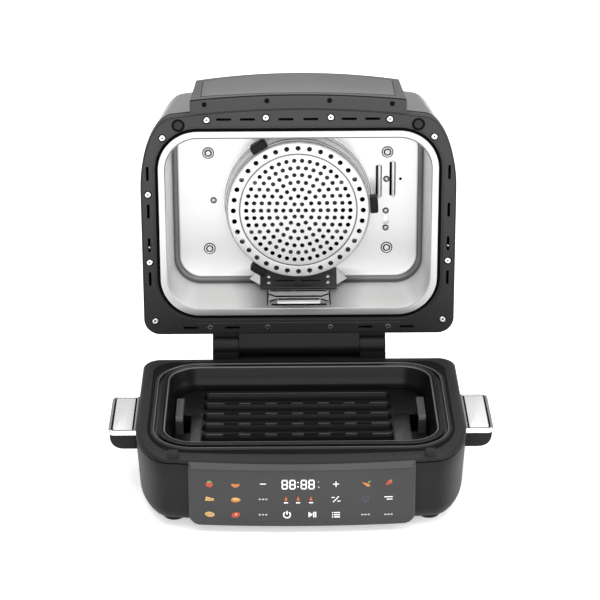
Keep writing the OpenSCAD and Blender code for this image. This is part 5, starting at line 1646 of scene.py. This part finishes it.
    def edge_shade_lines(self) -> Surface:
        """Painted shade: dark lines along the frame's outer edge and its seam, and a shadow ring round each
        bright screw.

        The edge's line follows its arc: d = r - q cos a and z = face + r - q sin a, with q just past r,
        and back with q inside it.

        Returns:
            The lines and rings.
        """
        r, z, low = 2.2, self.z, self.z + self.skirt
        a = np.radians(np.linspace(14.0, 78.0, 7))
        q, a = np.repeat([r + 0.06, r - 0.5], len(a)), np.concatenate([a, a[::-1]])
        edge = np.stack([r - q * np.cos(a), z + r - q * np.sin(a)], -1)
        seam = [(-0.05, low - 3.2), (-0.05, low - 0.3), (0.5, low - 0.3), (0.5, low - 3.2)]
        screw_shade_ring = turned([(3.4, z + 0.3), (3.4, z - 0.04), (4.6, z - 0.04), (4.6, z + 0.3)], 24, ring=True)
        lines = [loft(lifted(self.ring, section), ring=True) for section in (edge, seam)]
        return Surface.join(lines + [screw_shade_ring.copies(self.screw_places())])

    def lamp_window(self) -> Surface:
        """Cutter of the lamp's window in the liner's rear wall."""
        return slab(box_ring(-36.0, self.z + 7.5, 36.0, self.z + 52.5, 3.0), 96.0, 112.0, 0.1,
                    0.1).mapped(lambda x, z, y: (x, y, z))

    def seal(self) -> Surface:
        """Rounded rubber band between liner and frame."""
        z = self.z
        section = eased([(-self.gasket - 0.45, z + 4.0), (-self.gasket - 0.45, z + 0.1), (-0.05, z + 0.1),
                         (-0.05, z + 4.0)], (0, 0.5, 0.5, 0), 5)
        return loft(lifted(self.liner_ring, section), ring=True)

    def build(self) -> None:
        """Makes the lid's pieces."""
        piece("lid_frame_skin", self.frame(), FRAME, Body.LID, ["lid_frame"], cut=self.slots())
        piece("lid_frame_fold_highlight", self.painted_fold_line(), FOLD_HIGHLIGHT, Body.LID)
        piece("lid_frame_shade_lines", self.edge_shade_lines(), SHADE_BLACK, Body.LID)
        piece("lid_plugs", self.plugs(), PLUG, Body.LID, ["lid_bumpers"])
        piece("lid_plug_shade_rings", self.plug_shade_rings(), SHADE_BLACK, Body.LID)
        piece("lid_frame_screws", self.screws(self.screw_places()), SCREW_BRIGHT, Body.LID,
              ["frame_screws"])
        piece("lid_slot_pins", self.slot_pins(), SCREW_BRIGHT, Body.LID)
        # The rear screws take the shaded copy of the screw finish: painted shade
        piece("lid_rear_screws", self.screws(self.rear_screw_places()), SCREW_SHADED, Body.LID)
        piece("lid_shell_skin", self.shell(), STEEL_SHELL, Body.LID, ["lid_shell"],
              cut=self.outlets())
        piece("lid_liner_skin", self.liner(), STEEL_CAVITY, Body.LID, ["lid_liner"],
              cut=self.lamp_window())
        piece("lid_mouth_shade_line", self.mouth_shade_line(), MOUTH_SHADE, Body.LID)
        piece("lid_seal", self.seal(), SEAL, Body.LID, ["lid_gasket"])


@dataclass
class LidGrip:
    """The bowed handle along the lid's front, with its pale inset."""

    lid: Lid
    half: float = 121.2
    taper: float = 4.8
    height: float = 97.0
    crown: float = 10.0
    out: float = 14.3
    thick: float = 4.5
    bow_r: float = 1200.0
    margin: float = 11.0

    def front(self, x: Array) -> Array:
        """The handle's front face at x: f - out + x^2 / 2R."""
        return self.lid.front - self.lid.bow - self.out + x * x / (2 * self.bow_r)

    def wall(self) -> Surface:
        """L-shaped section carried along x: its wall follows the bow, its foot reaches back to the frame.

        The wall's top drops by crown * u^2 towards its ends, u going from -1 to 1 along the handle.

        Returns:
            The handle.
        """
        t = self.thick
        side = eased([(0, 0), (0, self.height), (t, self.height), (t, t), (self.out, t), (self.out, 0)],
                     (1.6, 1.6, 1.2, 1.0, 0.2, 0.2), 4, True)
        u = np.linspace(-1, 1, 65)[:, None]
        x = u * (self.half - self.taper * side[:, 1] / self.height)
        edge = self.lid.front_edge(x) + 0.2
        front = self.front(x)
        back = np.clip((side[:, 0] - t) / (self.out - t), 0, 1)
        y = front + np.minimum(side[:, 0], t) + back * (edge - front - t)
        drop = self.crown * u ** 2 * np.clip((side[:, 1] - t) / (self.height - t), 0, 1)
        return loft(np.stack([x, y, self.lid.z + side[:, 1] - drop], -1))

    def inset(self, grow: float = 0.0, rise: float = 0.5) -> Surface:
        """Thin plate on the front face: rows between a lower and an upper curve in (x, z), laid on the bow.

        The lower curve is z = low + 4 u^2 and the upper one z = high - 14 u^2, u going from -1 to 1 along
        the handle.

        Args:
            grow: How far the plate's edge is moved out.
            rise: How far the plate stands up.

        Returns:
            The plate.
        """
        low, high = self.lid.z + self.margin + 2.2, self.lid.z + self.height - 0.5 * self.margin
        u = np.linspace(-1, 1, 41)

        def loop(d: float) -> Array:
            """The plate's outline drawn in by d."""
            under = np.column_stack([u * (self.half - 12.5 - d), low + 4 * u ** 2 + d])
            over = np.column_stack([u * (self.half - 13.5 - d), high - 14 * u ** 2 - d])
            return np.concatenate([under, over[::-1]])

        rows = np.stack([level(loop(-grow), -0.6), level(loop(-grow), 0.5 * rise),
                         level(loop(0.6 - grow), rise)])
        n = 41
        idx = np.arange(6 * n).reshape(3, 2 * n)
        quads = np.stack([idx[:-1], np.roll(idx[:-1], -1, 1), np.roll(idx[1:], -1, 1), idx[1:]],
                         -1).reshape(-1, 4)
        k = np.arange(n - 1)
        caps = [np.stack([row[k], row[k + 1], row[2 * n - 2 - k], row[2 * n - 1 - k]], -1)
                for row in (idx[0], idx[2])]
        flat = Surface(rows.reshape(-1, 3), [quads, caps[0][:, ::-1], caps[1]])
        return flat.mapped(lambda x, z, h: (x, self.front(x) - h, z))

    def painted_fold_line(self) -> Surface:
        """Painted shade: a dark strip on the front face just above the foot, a four-sided section carried
        along the bow.
        """
        x = np.linspace(-1, 1, 65)[:, None] * (self.half - 0.5)
        loop = np.array([(-0.1, 1.6), (-0.1, 6.4), (0.5, 6.4), (0.5, 1.6)])
        y = self.front(x) + loop[:, 0]
        return grid(x, y, self.lid.z + loop[:, 1])

    def holes(self) -> Surface:
        """Cutters of the screw holes in the handle's foot."""
        hole = slab(round_ring(3.0, 24), self.lid.z - 2.0, self.lid.z + 2.2, 0.05, 0.05)
        return hole.copies([(x, self.front(x) + 0.35 * self.out, 0.0)
                            for x in (-105.0, -35.0, 35.0, 105.0)])

    def build(self) -> None:
        """Makes the handle's pieces."""
        piece("lid_grip", self.wall(), HANDLE_GREY, Body.LID, ["lid_handle"],
              cut=self.holes())
        piece("lid_grip_fold_shade", self.painted_fold_line(), SHADE_BLACK, Body.LID)
        piece("lid_grip_border", self.inset(1.0, 0.12), CHARCOAL, Body.LID)
        piece("lid_grip_inset", self.inset(), HANDLE_PALE, Body.LID, ["lid_handle_panel"])


@dataclass
class FanGuard:
    """The perforated guard in the lid's roof, with its shroud, clips and the roof's fasteners."""

    y: float = 0.2
    z: float = 131.8
    roof: float = ROOF_Z
    r: float = 82.0
    sheet: float = 0.8
    depth: float = 16.0
    hole_r: float = 2.65
    pitch: float = 8.6
    rings: int = 7
    edge_hole_r: float = 3.0
    edge_ring: float = 75.0
    edge_holes: int = 36
    clip_angles: tuple[float, ...] = (3.3, 121.0, 238.0)

    def dish(self) -> Surface:
        """Turned dish: a flat face with a pressed groove, a rounded edge and a side wall."""
        z, t, r = self.z, self.sheet, self.r
        g = self.pitch * (self.rings + 0.85)
        outer = eased([(AXIS, z), (g - 0.9, z), (g - 0.2, z + 0.9), (g + 0.7, z + 0.9), (g + 1.4, z),
                       (r, z), (r, z + self.depth)],
                      (0, 0.3, 0.3, 0.3, 0.3, 3.0, 0), 5)
        inner = [(r - t, z + self.depth), (r - t, z + 3.4), (r - 3.0, z + t), (g + 1.6, z + t),
                 (g + 0.9, z + t + 0.9), (g - 0.4, z + t + 0.9),
                 (g - 1.1, z + t), (AXIS, z + t)]
        return turned(np.concatenate([outer, inner]), 144).moved(y=self.y)

    def holes(self) -> Surface:
        """Cutters of the holes: a middle one, rings of 6n, and a ring of larger ones near the edge."""
        small = slab(round_ring(self.hole_r, 18), self.z - 3.0, self.z + 3.0, 0.05, 0.05)
        large = slab(round_ring(self.edge_hole_r, 20), self.z - 3.0, self.z + 3.0, 0.05, 0.05)
        turn = [(n * self.pitch, 60 * k / n) for n in range(1, self.rings + 1) for k in range(6 * n)]
        spots = [(0.0, 0.0, 0.0)] + [(r * math.cos(math.radians(a)), r * math.sin(math.radians(a)), 0.0)
                                     for r, a in turn]
        edge = around(self.edge_holes)
        rim = np.column_stack([self.edge_ring * np.cos(edge), self.edge_ring * np.sin(edge), 0 * edge])
        return Surface.join([small.copies(spots), large.copies(rim)]).moved(y=self.y)

    def shroud(self) -> Surface:
        """Turned ring round the guard, its foot turned out on the roof."""
        r, z = self.r + 0.4, self.z
        loop = eased([(r, z + 6), (r + 1, z + 6), (r + 1, self.roof - 1.2), (r + 5, self.roof - 1.0),
                      (r + 5, self.roof - 0.2), (r, self.roof - 0.2)],
                     (0.3, 0.3, 1.5, 0.3, 0.1, 0.1), 3, True)
        return turned(loop, 120, ring=True).moved(y=self.y)

    def lines(self) -> Surface:
        """Painted shade: dark rings at the groove's bottom, the gap between guard and shroud, and two round
        the shroud.
        """
        g, z, r = self.pitch * (self.rings + 0.85), self.z, self.r
        loops = [band(g - 0.2, g + 0.7, z + 0.5, z + 1.0),
                 band(r + 0.05, r + 0.9, z + 5.4, z + 6.2),
                 band(r + 1.3, r + 1.9, z + 7.5, z + 9.0),
                 band(r + 3.0, r + 3.8, self.roof - 1.5, self.roof - 0.9)]
        return Surface.join([turned(loop, 120, ring=True) for loop in loops]).moved(y=self.y)

    def roof_shade_lines(self) -> Surface:
        """Painted shade: dark rings round the roof's buttons and its low rivets, dark edges beside its
        louvres, and a dark dot for a small hole.
        """
        z = self.roof
        loops = [band(5.9, 6.9, z - 0.4, z + 0.1), band(3.1, 4.3, z - 1.0, z)]
        rings = Surface.join([turned(loop, 32, ring=True) for loop in loops]).copies(self.button_places())
        edges = [slab(box_ring(x + dx, self.y + y0, x + dx + w, self.y + y1, 0.5, 3), z - 2.4, z, 0.2, 0.1)
                 for x, y0, y1 in ((93.0, -42.5, -5.0), (109.0, -46.5, -6.5))
                 for dx, w in ((-2.3, 2.7), (3.2, 1.3))]
        dot = turned(band(AXIS, 1.7, z - 0.3, z + 0.1), 20).moved(119.4, self.y - 26.0)
        round_rivets = turned(band(2.9, 3.7, z - 0.5, z + 0.1), 24, ring=True).copies(self.rivet_places())
        return Surface.join([rings, *edges, dot, round_rivets])

    def rivet_places(self) -> list[Place]:
        """Middles of the roof's low rivets."""
        return [(103.0, self.y - 26.0, 0.0), (102.6, self.y + 13.0, 0.0), (102.6, self.y + 34.0, 0.0),
                (-98.5, self.y - 1.0, 0.0)]

    def button_places(self) -> list[Place]:
        """Middles of the roof's four buttons."""
        return [(s * 104.0, self.y + e * 58.8, 0.0) for s in (-1, 1) for e in (-1, 1)]

    def well(self) -> Surface:
        """Painted shade: a dark disc on the roof behind the guard, open round the shaft."""
        loop = band(9.0, self.r - 0.5, self.roof - 0.5, self.roof - 0.05)
        return turned(loop, 72, ring=True).moved(y=self.y)

    def clips(self) -> Surface:
        """Three rounded clips outside the shroud that hold the guard."""
        r = self.r + 1.4
        clip = slab(box_ring(r, -9.5, r + 9.0, 9.5, (2.5, 2.5, 0.5, 0.5)), self.z + 1.0, self.z + 15.0, 1.2,
                    0.5)

        def swung(angle: float) -> Surface:
            """The clip at one place round the guard."""
            c, s = math.cos(math.radians(-angle)), math.sin(math.radians(-angle))
            return clip.mapped(lambda x, y, z: (x * c - y * s, x * s + y * c + self.y, z))

        return Surface.join([swung(a) for a in self.clip_angles])

    def roof_screws(self) -> Surface:
        """Four buttons with a groove and a sunk middle."""
        z = self.roof
        head = turned(eased([(AXIS, z - 0.7), (0.9, z - 0.7), (1.2, z - 1.9), (2.5, z - 1.9),
                             (3.0, z - 0.8), (4.4, z - 0.8), (4.9, z - 1.2), (5.8, z - 1.0),
                             (6.0, z + 0.2), (AXIS, z + 0.2)], (0, 0.2, 0.3, 0.5, 0.4, 0.3, 0.3, 0.5, 0, 0),
                            3), 32)
        return head.copies(self.button_places())

    def sensor(self) -> Surface:
        """Two louvred bars and a small holder on the roof's right side."""
        z = self.roof
        bars = [slab(box_ring(x, self.y + y0, x + 3.6, self.y + y1, 1.7), z - 3.6, z, 1.5, 0.1)
                for x, y0, y1 in ((93.0, -44.0, -3.0), (109.0, -48.0, -4.0))]
        tab = slab(box_ring(99.0, self.y + 18.0, 106.0, self.y + 29.0, 1.2), z - 1.2, z, 0.5, 0.1)
        return Surface.join([*bars, tab])

    def rivets(self) -> Surface:
        """Low grey rivets of the roof."""
        z = self.roof
        rivet = turned(eased([(AXIS, z - 1.4), (2.2, z - 1.2), (2.9, z + 0.1), (AXIS, z + 0.1)],
                             (0, 0.6, 0, 0), 3), 20)
        return rivet.copies(self.rivet_places())

    def build(self) -> None:
        """Makes the guard and what holds it."""
        piece("guard_dish", self.dish(), STEEL_GUARD, Body.LID, ["fan_guard"],
              cut=self.holes())
        piece("guard_shroud_ring", self.shroud(), STEEL_LINER, Body.LID, ["fan_shroud"])
        piece("guard_holders", self.clips(), HOUSING, Body.LID, ["guard_clips"])
        piece("roof_buttons", self.roof_screws(), STEEL_LINER, Body.LID, ["liner_screws"])
        piece("guard_shade_lines", self.lines(), SCREW_SHADED, Body.LID)
        piece("guard_well_shade", self.well(), SHADE_BLACK, Body.LID)
        piece("roof_shade_lines", self.roof_shade_lines(), SHADE_BLACK, Body.LID)
        piece("roof_rivets", self.rivets(), STEEL_PART, Body.LID)
        piece("roof_sensor", self.sensor(), STEEL_LINER, Body.LID, ["temp_sensor"])


@dataclass
class Lamp:
    """The lamp in the cavity's rear wall: lens, holder and the hood between it and the roof, darkened with
    painted shade.
    """

    y: float = 103.7
    lean: float = 0.055
    wall: float = 99.2
    roof: float = 167.7
    half: float = 35.8
    low: float = 96.5
    high: float = 141.1
    depth: float = 18.0
    hood_hw: float = 45.0
    hood_run: float = 15.7
    hood_drop: float = 19.0
    facet: float = 12.6

    def lens(self) -> Surface:
        """Lens with bevelled edges."""
        return self.on_wall(slab(box_ring(-self.half, self.low, self.half, self.high, 3.0), -0.45, 3.0, 1.4,
                                 0.2))

    def on_wall(self, flat: Surface) -> Surface:
        """A shape drawn flat in (x, z, distance behind the wall), laid on the leaning wall."""
        return flat.mapped(lambda x, z, h: (x, self.y - self.lean * (z - self.low) + h, z))

    def lens_shade_lines(self) -> Surface:
        """Painted shade: dark lines on the lens, four along it, and an upright and two slanting ones at each
        end.
        """
        lines = [bar(0.0, z, w, t) for z, w, t in ((120.5, 52.0, 3.6), (112.5, 48.0, 3.2),
                                                   (98.1, 64.0, 2.8), (136.1, 66.0, 2.4))]
        lines += [bar(s * 36.2, 116.5, 1.1, 38.0) for s in (-1, 1)]
        lines += [bar(s * x, z, w, 2.4, s * turn) for s in (-1, 1)
                  for x, z, w, turn in ((30.0, 123.1, 13.0, 40.0), (30.0, 109.1, 11.0, -35.0))]
        return self.on_wall(Surface.join([patch(p, -0.75, 0.2) for p in lines]))

    def lens_bar(self) -> Surface:
        """Bright rounded bar along the lens."""
        return self.on_wall(slab(box_ring(-25.0, 100.7, 25.0, 109.1, 1.2), -0.95, 0.2, 0.7, 0.1))

    def holder(self) -> Surface:
        """Open box behind the lens: outer walls, front edge and the pocket inside."""
        box = box_ring(-self.half - 4.2, self.low - 4.2, self.half + 4.2, self.high + 4.2, 2.0)
        return loft(lifted(box, [(0.0, self.depth), (0.0, 0.0), (6.0, 0.0),
                                 (6.0, self.depth - 1.0)])).mapped(lambda x, z, h: (x, self.y + 1.6 + h, z))

    def hood(self) -> Surface:
        """Bent sheet along x: down the slope from the roof, then down the wall to the lens."""
        y1, y0, z1 = self.wall, self.wall - self.hood_run, self.roof
        z0 = z1 - self.hood_drop
        return along_x(np.array([(y0, z1), (y1 - 1.2, z0), (y1 - 1.2, self.high - 1.5),
                                 (y1, self.high - 1.5), (y1, z0 + 1.2), (y0 + 2.4, z1)]),
                       -self.hood_hw, self.hood_hw, 0.2)

    def facets(self) -> Surface:
        """Three-sided facets between the hood's ends, the roof and the wall."""
        y1, y0, z1 = self.wall, self.wall - self.hood_run, self.roof
        corners = np.array([(0.0, y0, z1), (0.0, y1 - 1.2, z1 - self.hood_drop),
                            (self.facet, y1 - 2.5, z1 - 2.5), (0.0, y1 - 3.6, z1 - 3.6)])
        shape = Surface(corners + [self.hood_hw + 0.1, 0.0, 0.0],
                        [np.array([(0, 1, 2), (0, 3, 1), (1, 3, 2), (2, 3, 0)])]).outward()
        return Surface.join([shape, shape.mapped(lambda x, y, z: (-x, y, z))])

    def on_slope(self, flat: Surface) -> Surface:
        """A shape drawn flat in (x, way down the hood's slope from its middle, height), laid on the slope."""
        lean = math.atan2(self.hood_drop, self.hood_run - 1.2)
        y1, y0, z1 = self.wall, self.wall - self.hood_run, self.roof
        c, s = math.sin(lean), math.cos(lean)
        return flat.mapped(lambda x, y, h: (x, (y0 + y1 - 1.2) / 2 + y * s - h * c,
                                            z1 - self.hood_drop / 2 - y * c - h * s))

    def rivets(self) -> Surface:
        """Four domed rivets on the hood's slope."""
        dome = turned(eased([(AXIS, 1.1), (1.3, 1.0), (2.2, 0.0), (2.2, -0.4), (0.05, -0.4)],
                            (0, 0.5, 0.3, 0, 0), 3), 20)
        return self.on_slope(dome.copies([(x, y, 0.0) for x in (-34.6, 34.6) for y in (0.6, 9.0)]))

    def hood_slot_shades(self) -> Surface:
        """Painted shade: two narrow dark slots drawn on the hood's slope."""
        return self.on_slope(Surface.join([patch(bar(x, 6.4, 23.0, 1.6), -0.3, 0.12)
                                           for x in (-15.2, 14.6)]))

    def build(self) -> None:
        """Makes the lamp's pieces."""
        piece("lamp_lens", self.lens(), GLASS, Body.LID, ["lamp_glass"])
        piece("lamp_holder", self.holder(), STEEL_LINER, Body.LID, ["lamp_bracket"])
        piece("lamp_hood", self.hood(), HOOD, Body.LID, (), 20.0)
        piece("lamp_hood_slot_shades", self.hood_slot_shades(), SHADE_BLACK, Body.LID)
        piece("lamp_lens_shade_lines", self.lens_shade_lines(), SHADE_BLACK, Body.LID)
        piece("lamp_lens_bar", self.lens_bar(), STEEL_LINER, Body.LID)
        piece("lamp_facets", self.facets(), STEEL_LINER, Body.LID, (), 10.0)
        piece("lamp_rivets", self.rivets(), SCREW_BRIGHT, Body.LID)


# Dressing of the CAD nodes that stay, light and camera


def dress_nodes() -> None:
    """Gives each CAD node that still shows its finish."""
    finishes: dict[str, Finish] = {
        # The heat shield bowl's dark finish is painted shade
        "base_bottom_cover": HOUSING, "heat_shield_bowl": BOWL_SHADE, "control_board": BOARD,
        "power_board": BOARD, "cover_screws": STEEL_PART,
        "cord_gland": RUBBER, "hinge_pins": STEEL_PART, "heating_coil": COIL, "coil_brackets": STEEL_PART,
        "motor_housing": MOTOR,
        "motor_bracket": STEEL_PART, "lamp_bulb": BULB, "handle_screws": SHADE_BLACK, "hinge_bushes": BRASS,
        "outlet_grille": HOUSING, "motor_shaft": STEEL_PART, "convection_fan": ALUMINIUM,
        "cooling_fan": CHARCOAL}
    for node, finish in finishes.items():
        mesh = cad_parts[node].data
        mesh.materials.clear()
        mesh.materials.append(finish.material())
        log.info("%s: %s", node, finish.name)


@dataclass(frozen=True)
class Viewpoint:
    """The photograph's viewpoint: a long lens that looks at aim from afar, slightly turned and rolled."""

    aim: Colour = (-1.47, -195.07, 263.64)
    elevation: float = 22.16
    swing: float = 0.55
    roll: float = -0.18
    distance: float = 2400.0
    lens: float = 140.8

    def build(self) -> None:
        """Makes the camera and sets it as the scene's."""
        e, p, r = (math.radians(v) for v in (self.elevation, self.swing, self.roll))
        back = Vector((-math.sin(p) * math.cos(e), -math.cos(p) * math.cos(e), math.sin(e)))
        right = Vector((math.cos(p), -math.sin(p), 0.0))
        up = back.cross(right)
        across, rise = right * math.cos(r) + up * math.sin(r), up * math.cos(r) - right * math.sin(r)
        data = bpy.data.cameras.new("viewpoint")
        data.lens, data.sensor_width, data.sensor_fit = self.lens, 36.0, "AUTO"
        data.clip_start, data.clip_end = 0.05, 60.0
        camera = bpy.data.objects.new("viewpoint", data)
        turn = Matrix((across, rise, back)).transposed().to_4x4()
        camera.matrix_world = Matrix.Translation((Vector(self.aim) + back * self.distance) * MM) @ turn
        bpy.context.scene.collection.objects.link(camera)
        bpy.context.scene.camera = camera


@dataclass(frozen=True)
class Studio:
    """A pale floor under soft light."""

    world: float = 0.36
    floor: float = 0.85
    floor_r: float = 9000.0
    glow: float = 0.5
    target: Place = (0.0, 0.0, 0.18)

    def lamp(self, name: str, place: Colour, target: Colour, size: float, power: float) -> None:
        """A square soft light at a place, facing a target, in metres and watts."""
        data = bpy.data.lights.new(name, "AREA")
        data.size, data.energy = size, power
        obj = bpy.data.objects.new(name, data)
        facing = (Vector(target) - Vector(place)).to_track_quat("-Z", "Y")
        obj.matrix_world = Matrix.Translation(place) @ facing.to_matrix().to_4x4()
        bpy.context.scene.collection.objects.link(obj)

    def build(self) -> None:
        """Makes the floor, the surrounding light and the lamps."""
        flat = patch(round_ring(self.floor_r, 64)(0.0), -30.0, -0.2)
        floor = bpy.data.objects.new("floor", mesh_of("floor", flat, CUTTER_CREASE))
        nodes = Nodes("floor_pale")
        fac = nodes.noise(nodes.coords(), 3.0, 2.0)
        nodes.feed(nodes.tint(fac, (self.floor * 0.99,) * 3, (self.floor,) * 3), "Base Color")
        nodes.set(Roughness=0.9, Specular_IOR_Level=0.1, Emission_Color=(1.0, 1.0, 1.0, 1.0),
                  Emission_Strength=self.glow)
        floor.data.materials.append(nodes.material)
        bpy.context.scene.collection.objects.link(floor)
        world = bpy.data.worlds.new("studio")
        world.use_nodes = True
        sky = world.node_tree.nodes["Background"]
        sky.inputs["Color"].default_value = (1.0, 1.0, 1.0, 1.0)
        sky.inputs["Strength"].default_value = self.world
        bpy.context.scene.world = world
        bpy.context.scene.view_settings.view_transform = "Standard"
        self.lamp("sky", (0.0, 0.6, 2.8), (0.0, 0.6, 0.0), 5.0, 165.0)
        self.lamp("key", (2.4, -0.7, 1.4), self.target, 1.6, 26.0)
        self.lamp("fill", (0.0, -3.4, 1.5), self.target, 2.4, 44.0)


def main() -> None:
    """Builds the part's sub-assemblies in order, dresses the rest, and lights and frames the scene."""
    logging.basicConfig(level=logging.INFO, format="%(message)s")
    lid = Lid()
    for part in (BaseBody(), Vessel(), SideHandle(Side.LEFT), SideHandle(Side.RIGHT), ControlPanel(),
                 HingeBlock(), lid, LidGrip(lid), FanGuard(), Lamp()):
        part.build()
    dress_nodes()
    Viewpoint().build()
    Studio().build()


if __name__ == "__main__":
    main()
